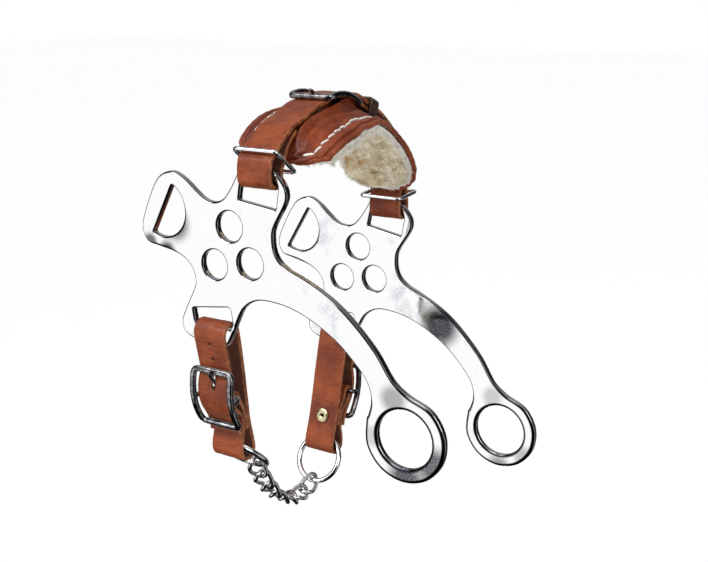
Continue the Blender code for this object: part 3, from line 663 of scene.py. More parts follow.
def edge_leather(name):
    """A cut edge, burnished: pale and waxy, with darker layers."""
    look = Look(name)
    layers = look.noise(1.0, 4, 0.6, where=look.stretched(look.place, (2600, 320, 320)))
    color = look.mix(look.ramp(layers, 0.34, 0.68), (0.13, 0.028, 0.008), (0.4, 0.13, 0.04))
    gloss = look.ramp(look.noise(800, 4), 0.3, 0.7, 0.34, 0.56)
    return look.finish(color, gloss, look.bump(layers, 0.5, 0.12))


def fleece_wool(name):
    """Cream wool, whiter towards the rims, darker and golden in the partings: the wool's yellower roots, and
    painted shade in the partings.
    """
    look = Look(name)
    rim = look.rim()
    lumps = look.noise(150, 4, 0.55, distortion=0.7)
    color = look.mix(look.ramp(lumps, 0.36, 0.64), (0.6, 0.5, 0.31), (0.85, 0.8, 0.66))
    clouds = {"Vector": look.place, "Scale": 45.0, "Detail": 2.0}
    bent = look.node("ShaderNodeTexNoise", clouds).outputs["Color"]
    small = look.vector("SCALE", {0: bent, "Scale": 0.012})[0]
    warped = look.vector("MULTIPLY_ADD", {0: look.place, 1: bent, 2: small})[0]
    partings = look.ramp(look.cells(48, "DISTANCE_TO_EDGE", warped), 0.0, 0.1, 1.0, 0.0)
    broken = look.math("MULTIPLY", partings, look.ramp(look.noise(60, 3), 0.42, 0.58))
    inside = look.math("MULTIPLY", broken, look.ramp(rim, 0.0, 1.0, 1.0, 0.15))
    # the wool's yellower roots and painted shade in the partings, darkest away from the rims
    color = look.mix(look.math("MULTIPLY", inside, 0.9), color, (0.42, 0.24, 0.06))
    color = look.mix(look.ramp(rim, 0.3, 1.0, 0.0, 0.85), color, (0.9, 0.9, 0.87))
    specks = look.ramp(look.noise(2600, 3, 0.7), 0.4, 0.75, 0.0, 0.22)
    color = look.mix(specks, color, (0.5, 0.42, 0.27))
    fibres = look.bump(look.noise(2200, 5, 0.75, distortion=1.2), 0.5, 0.3)
    curls = look.bump(look.noise(380, 4, 0.6, distortion=0.8), 0.55, 0.9, fibres)
    return look.finish(color, 0.92, curls, Sheen_Weight=0.3, Sheen_Roughness=0.5)


def thread(name):
    """Waxed white thread with its plies wound along it."""
    look = Look(name)
    waves = {"Vector": look.strap(), "Scale": 420.0, "Distortion": 1.0}
    plies = look.node("ShaderNodeTexWave", waves, bands_direction="DIAGONAL").outputs["Fac"]
    color = look.mix(look.ramp(look.noise(700, 4), 0.35, 0.7), (0.78, 0.74, 0.64), (0.97, 0.95, 0.9))
    return look.finish(color, 0.7, look.bump(plies, 0.7, 0.15), Sheen_Weight=0.2)


# Painted shade and dark reflections on the plates, as (u, v, radius, depth)
NEAR_PAINTED_SHADE = (
    (-33.5, 2.0, 12, 0.9), (-39, 16.5, 7, 0.97), (-50, 13, 6, 0.9), (112, 96, 13, 0.9), (97, 106, 13, 0.95),
    (90, 68, 9, 0.6), (79, 88, 7, 0.35),
)  # fmt: skip
FAR_PAINTED_SHADE = ((55, 35, 16, 1.0), (97, 108, 10, 0.7), (112, 98, 9, 0.5), (90, 68, 8, 0.4))
PLATE_CHROME = {
    -1: chrome("near_plate_chrome", painted_shade_patches=NEAR_PAINTED_SHADE),
    1: chrome("far_plate_chrome", painted_shade_patches=FAR_PAINTED_SHADE),
}
WIRE_CHROME = chrome("ring_chrome", (0.86, 0.86, 0.88), (0.4, 0.4, 0.43), (0.05, 0.14), 0.12)
CHAIN = chrome("chain_nickel", (0.66, 0.65, 0.68), (0.3, 0.29, 0.31), (0.08, 0.2), 0.2)
NICKEL = dark_nickel("smoky_nickel")
BRASS = brass("rivet_brass")
# Leathers, with their light, dark and worn colours
STRAP_TAN = ((0.34, 0.07, 0.014), (0.14, 0.022, 0.005), (0.5, 0.16, 0.048))
PAD_TAN = ((0.29, 0.053, 0.01), (0.11, 0.016, 0.004), (0.44, 0.12, 0.035))
RIM_TAN = ((0.31, 0.06, 0.013), (0.13, 0.02, 0.005), (0.5, 0.16, 0.048))
DARK_BROWN = ((0.07, 0.028, 0.018), (0.025, 0.011, 0.009), (0.15, 0.075, 0.05))
GRAIN = leather("strap_leather_grain", *STRAP_TAN)
PAD_GRAIN = leather("pad_leather_grain", *PAD_TAN, flat=True)
RIM_GRAIN = leather("pad_rim_leather", *RIM_TAN, crease=0.8)
KEEPER = leather("keeper_leather_dark", *DARK_BROWN, gloss=(0.3, 0.5))
FLESH = flesh_leather("strap_leather_flesh")
EDGE = edge_leather("strap_leather_edge")
WOOL = fleece_wool("fleece_wool")
THREAD = thread("saddle_thread")


# ---------------------------------------------------------------- leather straps


def strap_section():
    """(points, kinds): a strip's section, thin across +up; kinds is 0 on +up, 1 on -up and 2 on the edges."""
    wide, high, r, columns, bend = STRAP_WIDE / 2, STRAP_THICK / 2, STRAP_EDGE_R, 14, 4
    top = np.stack([np.linspace(-wide + r, wide - r, columns + 1), np.full(columns + 1, high)], 1)
    corners = arc((wide - r, high - r), r, 90, 0, bend), arc((wide - r, -high + r), r, 0, -90, bend)
    right = np.vstack(corners)
    points = np.vstack([top, right[1:-1], -top, -right[1:-1]])
    kinds = [0] * columns + [2] * (len(right) - 1) + [1] * columns + [2] * (len(right) - 1)
    return points, np.array(kinds)


def strap(name, path, grain_up, matrix=None, seed=0.0):
    """A leather strip along a (y, z) path; grain_up says which side of the path is the smooth one."""
    path = resample(path, STRAP_STEP)
    line = np.column_stack([np.zeros(len(path)), path])
    section, kinds = strap_section()
    along = tangents(line, False)
    ups = np.stack([np.zeros(len(path)), -along[:, 2], along[:, 1]], 1)
    at = lengths_along(line)
    rings = line[:, None] + section[None, :, :1] * np.array([1, 0, 0]) + section[None, :, 1:] * ups[:, None]
    for i, distance in enumerate(at):
        for j, (x, _) in enumerate(section):
            rings[i, j] += ups[i] * FACE_SWAY * noise.noise(Vector((distance / 9 + seed, x / 7, seed)))
        rings[i, :, 0] += EDGE_SWAY * noise.noise(Vector((distance / 13 + seed, 3.1, 0)))
    faces = grid_faces(len(path), len(section), False, True).tolist() + end_caps(len(path), len(section))
    order = kinds if grain_up else np.where(kinds == 2, 2, 1 - kinds)
    kinds = [*np.tile(order, len(path) - 1), 2, 2]
    strap_at = strap_map(at + seed * 40, section)
    return mesh_object(name, rings.reshape(-1, 3), faces, [GRAIN, FLESH, EDGE], kinds, strap_at, matrix, 60)


def nose_frame(s, n):
    """A matrix at a point of the arch plane: its Y looks away from the nose and its Z along the strap."""
    y, z = nose(s, n)
    away = Vector((0, math.sin(ROLL), math.cos(ROLL)))
    along = Vector((0, math.cos(ROLL), -math.sin(ROLL)))
    turn = Matrix((X, away, along)).transposed().to_4x4()
    return Matrix.Translation((0, float(y), float(z))) @ turn


def nose_pins(holes):
    return [pin(nose_frame(s, n), *shape) for s, n, *shape in holes]


def near_noseband_strap():
    path = np.vstack([layer(NEAR_OUTER, 34, -57), fold(-1, NEAR_LEAD), layer(INNER, -66, -54)])
    made = strap("near_noseband_leather", path, False, seed=1.0)
    cut(made, nose_pins(BILLET_HOLES))
    return made


def far_noseband_strap():
    turn = nose(*arc(NOSE_BAR, NOSE_TURN_R, 270, 90, 16).T)
    under = nose(*np.transpose(CHAPE_END))
    path = np.vstack([under, turn, layer(FAR_OUTER, 8, 57), fold(1, FAR_LEAD), layer(INNER, 66, 32)])
    made = strap("far_noseband_leather", path, True, seed=2.0)
    cut(made, nose_pins(CHAPE_SLOT))
    return made


def side_view(side, points):
    """(y, z) of points given as (a, b) in a curb strap's side view."""
    points = np.asarray(points, float)
    return np.stack([side * points[:, 1], -points[:, 0]], 1)


def curb_strap(side, matrix):
    """One strip: the chape, then round the buckle's bar, the ring and the plate's bar to the billet."""
    pieces = [
        smooth(RETURN_B[::-1], steps=6),
        arc(CURB_BAR, CURB_TURN_R, 270, 90, 16),
        smooth(CHAPE_B[::-1], steps=6),
        arc(RING_FOLD, RING_FOLD_R, 90, -90, 20),
        smooth(INNER_B, steps=6),
        arc((-LOW_LOOP_RISE, 0), LOW_LOOP_R, 270, 90, 20),
        smooth(BILLET_B, steps=6),
    ]
    path = side_view(side, np.vstack(pieces))
    made = strap(f"{WORDS[side]}_curb_leather", path, side > 0, matrix, 3.0 + side)
    facing = Matrix.Diagonal((1, side, 1, 1))
    cut(made, [pin(matrix @ Matrix.Translation((0, 0, -a)) @ facing, *shape) for a, *shape in CURB_HOLES])
    return made


def leather_keeper():
    """The dark loop that holds the billet's tip down."""
    ahead = on_arch(BILLET_KEEPER_AT + 1.5, 0) - on_arch(BILLET_KEEPER_AT - 1.5, 0)
    lean = math.pi / 2 + math.atan2(ahead[1], ahead[0])
    matrix = Matrix.Translation((0, *on_arch(BILLET_KEEPER_AT, 0.9))) @ Matrix.Rotation(lean, 4, "X")
    loop = resample(rectangle(*BILLET_KEEPER_LOOP), 0.7, True)
    path = np.column_stack([loop, np.zeros(len(loop))])
    return tube("dark_billet_keeper", path, oval(*BILLET_KEEPER_SECTION), KEEPER, True, matrix, up=(0, 0, 1))


# ---------------------------------------------------------------- pad and fleece

STITCH_IN = 5.8
STITCH_PITCH = 5.3
STITCH_LONG = 4.5
STRAP_BED = 10.2  # half the width that stays flat under the strap
CROWN = 1.3
RIM_WHITE = 5.0  # how far the wool's white rim reaches in
RIM_CORDS = ((0.1, 1.3, -1.0), (2.4, 1.0, -0.05))  # distance in from the rim, radius, rise
PAD_NEAR, PAD_FAR = PAD_RIGHT[0][0], PAD_RIGHT[-1][0]
FLEECE_SHORT = 1 - 0.6 / PAD_FAR
FLEECE_IN = 0.5
NAP_LOCKS = 9000
FRINGE_LOCKS = 5200
TIP_SHARE = 0.16
LOCK_RINGS = ((0.0, 1.0), (0.45, 0.85), (0.8, 0.5))  # share of a lock's length, share of its radius


def by_side(right, left, distance, x):
    return np.where(np.asarray(x) > 0, table(right, distance), table(left, distance))


def reach(distance, x):
    """How far the pad goes from the strap's middle, on x's side."""
    return by_side(PAD_RIGHT, PAD_LEFT, distance, x)


def end_gap(distance):
    """How far a point is from the nearer end of the pad."""
    return np.minimum(distance - PAD_NEAR, PAD_FAR - distance)


def rim_gap(distance, x, narrow=0.0):
    """How far a point is from the rim of the pad or a narrower sheet; the ends count one and a half times."""
    return np.minimum(reach(distance, x) - narrow - np.abs(x), end_gap(distance) * 1.5)


def pad_map(distance, x, gap):
    """The strap attribute on the pad: where a point is, and how near to the rim."""
    return np.stack([distance, x, 1 - np.clip(gap / RIM_WHITE, 0, 1)], -1).reshape(-1, 3)


def pad_base(distance, x):
    """The pad's sheet above the arch; its rims curl towards the nose, the front one most."""
    return -by_side(DROOP_RIGHT, DROOP_LEFT, distance, x) * (x / reach(distance, x)) ** 2


def rumple(distance, x, scale, seed):
    """Seeded noise on the pad, in (distance, x) millimetres."""
    a, b = np.broadcast_arrays(np.asarray(distance, float), np.asarray(x, float))
    places = [Vector((*pair, seed)) for pair in zip(a.ravel() / scale, b.ravel() / scale)]
    return np.array([noise.fractal(place, 1.0, 2.1, 4) for place in places]).reshape(a.shape)


def bell(x, middle, wide):
    return np.exp(-(((x - middle) / wide) ** 2))


def pad_top(distance, x):
    """The pad's upper face above the arch: flat under the strap, crowned beside it, sunk at the stitching."""
    inside = reach(distance, x) - np.abs(x)
    span = np.maximum(reach(distance, x) - STITCH_IN - STRAP_BED, 0.1)
    t = np.clip((np.abs(x) - STRAP_BED) / span, 0, 1)
    height = pad_base(distance, x) + np.clip(span / 4, 0, 1) * CROWN * np.sin(math.pi * t) ** 2
    height += 0.35 * bell(inside, 3.0, 1.3) - 0.6 * bell(inside, STITCH_IN, 1.0)
    height += 3.2 * bell(distance, -11, 7) * np.clip((11 - np.abs(x)) / 2, 0, 1)
    return height + creases(distance, x)


def creases(distance, x):
    """The folds beside the strap's front edge, from the near end to the buckle's bar."""
    crest = 10.9 + 0.7 * np.sin(distance / 6.0)
    folds = (2.8 + 3.0 * bell(distance, -12, 14)) * bell(x, crest, 1.7) - 0.7 * bell(x, crest + 3.1, 0.9)
    folds += 1.1 * bell(x, crest + 5.2 + 0.9 * np.sin(distance / 4.0), 1.1)
    folds -= 0.5 * bell(x, crest + 7.4 + 0.6 * np.sin(distance / 3.0), 0.8)
    return folds * np.clip((distance + 64) / 10, 0, 1) * np.clip((4 - distance) / 12, 0, 1)


def pad_points(distance, x, offset):
    """3-D points of the pad, (distance along the arch, x, offset above it)."""
    return np.concatenate([np.asarray(x, float)[..., None], on_arch(distance, offset)], -1)


def nosewards(distance, x, level):
    """One millimetre towards the nose, as a vector at each point."""
    return pad_points(distance, x, level - 1) - pad_points(distance, x, level)


def crowding(count):
    """Steps from -1 to 1 that get closer towards both ends."""
    return np.sin(np.linspace(-math.pi / 2, math.pi / 2, count + 1))


def shell(name, top, bottom, short, narrow, looks, rows, columns, edge=1.0):
    """A closed saddle-shaped body between two height functions, with a rounded rim."""
    distance = (PAD_NEAR + PAD_FAR) / 2 + (PAD_FAR - PAD_NEAR) / 2 * crowding(rows)[:, None]
    w = crowding(columns)[None, :]
    x = w * (reach(distance, w) - narrow)
    distance = distance + 0 * x
    gap = rim_gap(distance, x, narrow)
    closing = np.sqrt(np.clip(1 - (1 - np.clip(gap / edge, 0, 1)) ** 2, 0, 1))
    high, low = top(distance, x), bottom(distance, x)
    middle = high - np.minimum(high - low, 2.0) / 2
    points = [pad_points(distance * short, x, middle + (face - middle) * closing) for face in (high, low)]
    points = np.concatenate(points).reshape(-1, 3)
    faces = grid_faces(rows + 1, columns + 1, False, False)
    below = faces[:, ::-1] + len(points) // 2
    kinds = [0] * len(faces) + [len(looks) - 1] * len(below)
    strap_at = np.tile(pad_map(distance, x, gap), (2, 1))
    made = mesh_object(name, points, np.concatenate([faces, below]).tolist(), looks, kinds, strap_at)
    face_outwards(made.data, weld=1e-5)
    return made


def leather_pad():
    def top(distance, x):
        return pad_top(distance, x) + 0.22 * rumple(distance, x, 9, 4.0)

    def bottom(distance, x):
        return pad_base(distance, x) - PAD_THICK

    return shell("noseband_leather_pad", top, bottom, 1.0, 0.0, [PAD_GRAIN, FLESH], 220, 84)


def fleece_low(distance, x):
    """The fleece's underside: rounded at the rims, lumpy, and parted in places."""
    v = np.clip(np.abs(x) / (reach(distance, x) - FLEECE_IN), 0, 1)
    ends = np.clip(end_gap(distance) / 6, 0, 1)
    deep = (5.3 - 1.5 * v**3) * (0.45 + 0.55 * np.sqrt(ends * (2 - ends)))
    lumps = 1.2 * rumple(distance, x, 9.0, 9.0) + 0.35 * rumple(distance, x, 3.0, 3.0)
    parting = np.abs(rumple(distance, x, 15.0, 5.5))
    return pad_base(distance, x) - PAD_THICK - deep - lumps + 1.5 * bell(parting, 0, 0.07) * ends


def fleece():
    def top(distance, x):
        return pad_base(distance, x) - PAD_THICK - 0.1

    return shell("fleece_lining", top, fleece_low, FLEECE_SHORT, FLEECE_IN, [WOOL], 240, 96, edge=2.2)


def locks(name, distance, x, level, way, long, radius):
    """Short curled tufts of wool from points of the pad, each a tapered three-sided stem."""
    count = len(distance)
    start = pad_points(distance * FLEECE_SHORT, x, level)
    way = way / np.linalg.norm(way, axis=1)[:, None]
    bend = RANDOM.normal(0, 0.6, (count, 3))
    side = np.cross(way, RANDOM.normal(0, 1, (count, 3)))
    side /= np.linalg.norm(side, axis=1)[:, None]
    other = np.cross(way, side)
    rings = []
    for share, thick in LOCK_RINGS:
        center = start + (way * share + bend * share**2 * 0.6) * long[:, None]
        for angle in 2 * np.pi * np.arange(3) / 3:
            spoke = side * math.cos(angle) + other * math.sin(angle)
            rings.append(center + spoke * (radius * thick)[:, None])
    rings.append(start + (way + bend * 0.6) * long[:, None])
    stem = len(rings)
    single = [[2, 1, 0], *grid_faces(len(LOCK_RINGS), 3, False, True).tolist()]
    single += [[stem - 4 + k, stem - 4 + (k + 1) % 3, stem - 1] for k in range(3)]
    faces = [[i * stem + k for k in face] for i in range(count) for face in single]
    strap_at = np.repeat(pad_map(distance, x, rim_gap(distance, x)), stem, 0)
    return mesh_object(name, np.stack(rings, 1).reshape(-1, 3), faces, [WOOL], strap=strap_at)


def wool_nap():
    """The fleece's nap, all over its underside."""
    count = NAP_LOCKS
    distance = RANDOM.uniform(PAD_NEAR + 2, PAD_FAR - 2, count)
    v = RANDOM.uniform(-1, 1, count)
    x = v * (reach(distance, v) - FLEECE_IN - 0.8)
    level = fleece_low(distance, x) + RANDOM.uniform(0.1, 0.8, count)
    out = nosewards(distance, x, level)
    out[:, 0] += 0.4 * v**3
    way = out + RANDOM.normal(0, 0.5, (count, 3))
    long, radius = RANDOM.uniform(0.8, 1.9, count), RANDOM.uniform(0.1, 0.22, count)
    return locks("fleece_nap", distance, x, level, way, long, radius)


def wool_fringe():
    """Locks that stick out between the leather's rim and the fleece, longest under the near front rim."""
    count = FRINGE_LOCKS
    distance = RANDOM.uniform(PAD_NEAR + 1, PAD_FAR - 1, count)
    v = np.sign(RANDOM.uniform(-1, 1, count)) * RANDOM.uniform(0.94, 1.0, count)
    tip = RANDOM.random(count) < TIP_SHARE
    distance = np.where(tip, RANDOM.uniform(PAD_FAR - 3, PAD_FAR - 0.6, count), distance)
    v = np.where(tip, RANDOM.uniform(-1, 1, count), v)
    x = v * (reach(distance, v) - FLEECE_IN)
    level = pad_base(distance, x) - PAD_THICK - RANDOM.uniform(0.8, 4.2, count)
    out = nosewards(distance, x, level)
    out[:, 0] += 0.9 * v
    way = out + RANDOM.normal(0, 0.35, (count, 3))
    clump = np.clip(np.sin(distance * 0.9) + 0.5 * np.sin(distance * 2.3 + 1), 0, 2)
    long = RANDOM.uniform(0.9, 1.9, count) * (1 + 0.7 * clump * (v > 0) * (distance < -20))
    return locks("fleece_fringe", distance, x, level, way, long, RANDOM.uniform(0.12, 0.26, count))


def pad_piping():
    """The rolled double rim: two cords of leather along each long edge."""
    parts = []
    steps = ((PAD_NEAR + 0.5, -58, 49), (-58, 58, 129), (58, PAD_FAR - 0.5, 49))
    distance = np.concatenate([np.linspace(start, end, count, endpoint=False) for start, end, count in steps])
    distance = np.append(distance, PAD_FAR - 0.5)
    ends = np.clip(end_gap(distance) / 4, 0, 1)
    for side in (-1, 1):
        for inwards, radius, rise in RIM_CORDS:
            x = side * (reach(distance, side) - inwards)
            path = resample(pad_points(distance, x, pad_base(distance, x) + rise - (1 - ends) * 0.5), 0.8)
            share = np.linspace(0, 1, len(path))
            taper = np.clip(np.minimum(share, 1 - share) / 0.04, 0, 1)
            wobble = 1 + 0.05 * np.sin(share * 170 + inwards)
            parts.append(swept(path, oval(radius, radius, count=12), scale=wobble * (0.4 + 0.6 * taper)))
    return joined("pad_rolled_rim", parts, RIM_GRAIN)


def pad_stitches():
    """Long saddle stitches of waxed thread, each sinking into its two holes."""
    parts = []
    t = np.linspace(-0.5, 0.5, 9)
    hump = 0.36 * np.sqrt(np.clip(1 - (2 * t) ** 2, 0, 1)) - 0.1
    thin = 0.35 + 0.65 * np.sqrt(np.clip(1 - (2 * t) ** 4, 0, 1))
    fine = np.linspace(PAD_NEAR + 4, PAD_FAR - 4, 1200)
    for side in (-1, 1):
        x = side * (reach(fine, side) - STITCH_IN)
        at = lengths_along(pad_points(fine, x, pad_top(fine, x)))
        for k, center in enumerate(np.arange(3.0, at[-1] - 3, STITCH_PITCH)):
            distance = np.interp(center + t * STITCH_LONG, at, fine)
            x = side * (reach(distance, side) - STITCH_IN) + t * 0.8 + 0.12 * math.sin(k * 2.3)
            if abs(x).min() < STRAP_BED + 0.4:
                continue
            path = pad_points(distance, x, pad_top(distance, x) + 0.22 + hump)
            parts.append(swept(path, oval(0.66, 0.45, count=10), scale=thin))
    return joined("pad_saddle_stitches", parts, THREAD)


# ---------------------------------------------------------------- metal


def cheek_loops():
    """The plate's outer edge and its openings, as (u, v)."""
    center = Vector(REIN_RING)
    first, last = (math.degrees((Vector(p) - center).angle_signed(Vector((1, 0)))) for p in SHANK_MEETS_RING)
    while last > first:
        last -= 360
    ring = arc(REIN_RING, REIN_RING_R, first, last, 24)
    outline = resample(smooth([*CHEEK_OUTLINE, *ring[::3], *SHANK_TOP], True, 6), 1.4, True)
    p, q = (Vector(end) for end in D_SLOT)
    lean = math.degrees(math.atan2(p.y - q.y, p.x - q.x))
    d = arc((p + q) / 2, (p - q).length / 2, lean, lean + 180, 28)
    d_slot = np.vstack([d[2:-2], eased(d[-1], d[-2], d[0]), eased(d[0], d[1], d[-1])[::-1]])
    holes = [arc(c, ROUND_HOLE_R, 0, 360, 48)[:-1] for c in ROUND_HOLES]
    slots = [rounded(TOP_SLOT, (0.8, 0.8, 2.5, 2.5)), rounded(LOW_SLOT, (0.8, 1.8, 2.5, 2.5))]
    return [outline, d_slot, *holes, arc(REIN_RING, REIN_HOLE_R, 0, 360, 72)[:-1], *slots]


def eased(corner, curve_point, far_corner):
    """A softened corner, from a point of the curve beside it to a place on the straight edge."""
    flat = (far_corner - corner) / np.linalg.norm(far_corner - corner)
    middle = corner + 0.1 * (curve_point - corner) + 0.225 * flat
    return smooth([curve_point, middle, corner + 1.6 * flat], steps=4)


def inset(loop, amount, outer):
    """The loop moved into the metal; outer says that it is the plate's own edge."""
    area = 0.5 * np.sum(loop[:, 0] * np.roll(loop[:, 1], -1) - np.roll(loop[:, 0], -1) * loop[:, 1])
    along = np.roll(loop, -1, 0) - np.roll(loop, 1, 0)
    along /= np.linalg.norm(along, axis=1)[:, None]
    left = np.stack([-along[:, 1], along[:, 0]], 1) * (1 if area > 0 else -1)
    return loop + left * amount * (1 if outer else -1)


def round_width(loop, outer):
    """How wide the plate's edge is rounded at each point: most round the rein ring and on the rear arm."""
    by_ring, by_arm, by_holes = (
        np.linalg.norm(loop - place, axis=1) for place in (REIN_RING, REAR_ARM, REAR_OF_HOLES)
    )
    wide = PLATE_ROUND + 1.7 * np.clip((REIN_RING_R + 4 - by_ring) / 4, 0, 1)
    return wide + 1.6 * (bell(by_arm, 0, 8) if outer else bell(by_holes, 0, 7))


def cheek(side, matrix):
    """One pressed plate with rounded edges all round."""
    bend = np.radians(np.linspace(0, 90, 6))
    layers = [(1 - math.sin(turn), PLATE_THICK / 2 - PLATE_ROUND * (1 - math.cos(turn))) for turn in bend]
    layers += [(amount, -depth) for amount, depth in layers[::-1]]
    points, faces, flat, base = [], [], [], 0
    caps = {0: [], len(layers) - 1: []}
    for number, loop in enumerate(cheek_loops()):
        count, outer = len(loop), number == 0
        wide = round_width(loop, outer)[:, None]
        for level, (amount, depth) in enumerate(layers):
            moved = inset(loop, amount * wide, outer)
            u, v = moved.T
            points.append(np.column_stack([u - TOP_BAR[0], np.full(count, depth), TOP_BAR[1] - v]))
            flat.append(np.column_stack([moved, np.full(count, 1 - amount)]))
            if level in caps:
                caps[level].append((base + level * count, moved))
        faces += (grid_faces(len(layers), count, False, True) + base).tolist()
        base += len(layers) * count
    for rings in caps.values():
        index = np.concatenate([start + np.arange(len(moved)) for start, moved in rings])
        loops = [[Vector((*p, 0)) for p in moved] for _, moved in rings]
        faces += [index[list(triangle)].tolist() for triangle in geometry.tessellate_polygon(loops)]
    name, look = f"{WORDS[side]}_cheek_chrome", PLATE_CHROME[side]
    made = mesh_object(name, np.concatenate(points), faces, [look], None, np.concatenate(flat), matrix, 80)
    weighted = made.modifiers.new("Flat faces", "WEIGHTED_NORMAL")
    weighted.weight = 100
    weighted.keep_sharp = True
    return made


def frame_path(toe, foot):
    """(points, ups) of an arched buckle frame as (x, along, outwards)."""
    half, middle = (foot[0] - toe[0]) / 2, (foot[0] + toe[0]) / 2
    x, a = resample(rectangle(FRAME_HALF_WIDE, -half, half, FRAME_CORNER_R), 0.7, True).T
    level = toe[1] + (foot[1] - toe[1]) * (a + half) / (2 * half) + FRAME_BOW * (1 - (a / half) ** 2)
    up = np.stack([0 * a, 2 * FRAME_BOW * a / half**2, np.ones(len(a))], 1)
    return np.stack([x, middle + a, level], 1), up


def curb_view(side, points):
    """3-D points from a curb strap's own (x, a, b)."""
    return np.stack([points[:, 0], side * points[:, 2], -points[:, 1]], 1)


def curb_buckle(side, matrix):
    """The arched frame with its sunk bar, in one piece."""
    path, up = frame_path(CURB_TOE, CURB_FOOT)
    frame_part = swept(curb_view(side, path), oval(*FRAME_SECTION), True, curb_view(side, up))
    a, b = CURB_BAR
    top, w = CURB_TOE[1] + FRAME_BOW - 0.4, FRAME_HALF_WIDE
    dip = smooth([(-w, a, top), (-w, a, b + 2), (-w + 1.6, a, b), (-w + 6, a, b)], steps=5)
    bar = np.vstack([dip, dip[::-1] * (-1, 1, 1)])
    bar_part = swept(curb_view(side, bar), oval(BAR_R, BAR_R))
    return joined(f"{WORDS[side]}_curb_frame", [frame_part, bar_part], NICKEL, matrix)


def tongue_line(start, end, steps, out):
    """A tongue from its eye, round the bar from one angle to another, and out through its points."""
    eye = arc((0, 0), TONGUE_EYE_R, start, end, steps)
    return resample(np.vstack([eye[:-1], smooth([eye[-1], *out], steps=6)]), 0.45)


def tongue(name, path, matrix=None):
    return tube(name, path, oval(TONGUE_R, TONGUE_R), NICKEL, matrix=matrix, scale=round_ends(path, TONGUE_R))


def curb_tongue(side, matrix):
    view = tongue_line(-50, 150, 24, CURB_TONGUE)
    path = np.stack([0 * view[:, 0], side * view[:, 1], -view[:, 0]], 1)
    return tongue(f"{WORDS[side]}_curb_prong", path, matrix)


def nose_buckle():
    path, up = frame_path(NOSE_TOE, NOSE_BAR)
    world = np.column_stack([path[:, 0], nose(path[:, 1], path[:, 2])])
    ups = np.column_stack([up[:, 0], nose(up[:, 1], up[:, 2]) - nose(0, 0)])
    return tube("noseband_frame", world, oval(*FRAME_SECTION), NICKEL, True, up=ups)


def nose_tongue():
    view = tongue_line(-130, 160, 30, NOSE_TONGUE) + np.array(NOSE_BAR)
    return tongue("noseband_prong", np.column_stack([0 * view[:, 0], nose(view[:, 0], view[:, 1])]))


def metal_keeper(side):
    """A rectangular wire ring round the strap's two layers and the pad's end."""
    inwards = Vector(WIRE_KEEPER_WAY).normalized()
    loop = resample(rectangle(*WIRE_KEEPER_LOOP), 0.6, True)
    s, n = (WIRE_KEEPER_AT[k] + inwards[k] * loop[:, 1] for k in (0, 1))
    path = np.column_stack([loop[:, 0], nose(side * s, n)])
    return tube(f"{WORDS[side]}_wire_keeper", path, oval(WIRE_KEEPER_R, WIRE_KEEPER_R), WIRE_CHROME, True)


def curb_ring(side, matrix):
    """A round ring with a slight swelling at its weld."""
    t = 2 * np.pi * np.arange(96) / 96
    path = np.stack([RING_R * np.cos(t), 0 * t, RING_R * np.sin(t) - RING_SEAT], 1)
    wire = oval(RING_WIRE_R, RING_WIRE_R, count=18)
    swell = 1 + 0.05 * bell(t, math.pi / 2, 0.06)
    return tube(f"{WORDS[side]}_round_ring", path, wire, WIRE_CHROME, True, matrix, scale=swell)


def rivet(side, matrix):
    """A tubular rivet: spread flange towards the jaw, rolled over the shank, plain head outside."""
    rim = [(0.95, -5.25), (1.25, -5.5), (2.0, -5.62), (3.2, -5.5), (3.8, -5.25), (3.9, -5.0)]
    shank = [(3.75, -4.8), (2.1, -4.75), (2.1, 2.9)]
    head = [(3.2, 2.92), (3.4, 3.1), (3.3, 3.35), (2.2, 3.5), (1.2, 3.45), (0.9, 3.2)]
    at = Matrix.Translation((0, 0, -RIVET_A)) @ Matrix.Rotation(0 if side > 0 else math.pi, 4, "Z")
    return turned(f"{WORDS[side]}_brass_rivet", [*rim, *shank, *head], BRASS, matrix @ at)


def hang(start, end, lengths):
    """Directions of straight links that hang between two points, as unit vectors."""
    across = Vector((end.x - start.x, end.y - start.y, 0))
    goal = Vector((across.length, end.z - start.z))

    def span(pull, lift):
        ways = [Vector((pull, lift + i)).normalized() for i in range(len(lengths))]
        return sum((way * length for way, length in zip(ways, lengths)), Vector((0, 0))), ways

    pull, lift = 3.0, -4.0
    for _ in range(60):
        total, ways = span(pull, lift)
        miss = goal - total
        if miss.length < 1e-9:
            break
        d_pull = (span(pull + 1e-5, lift)[0] - total) / 1e-5
        d_lift = (span(pull, lift + 1e-5)[0] - total) / 1e-5
        det = d_pull.x * d_lift.y - d_pull.y * d_lift.x
        step = ((miss.x * d_lift.y - miss.y * d_lift.x) / det, (d_pull.x * miss.y - d_pull.y * miss.x) / det)
        scale = min(1.0, 1.0 / max(abs(step[0]), abs(step[1]), 1e-9))
        pull += step[0] * scale
        lift += step[1] * scale
    flat = across.normalized()
    return [Vector((flat.x * way.x, flat.y * way.x, way.y)) for way in ways]


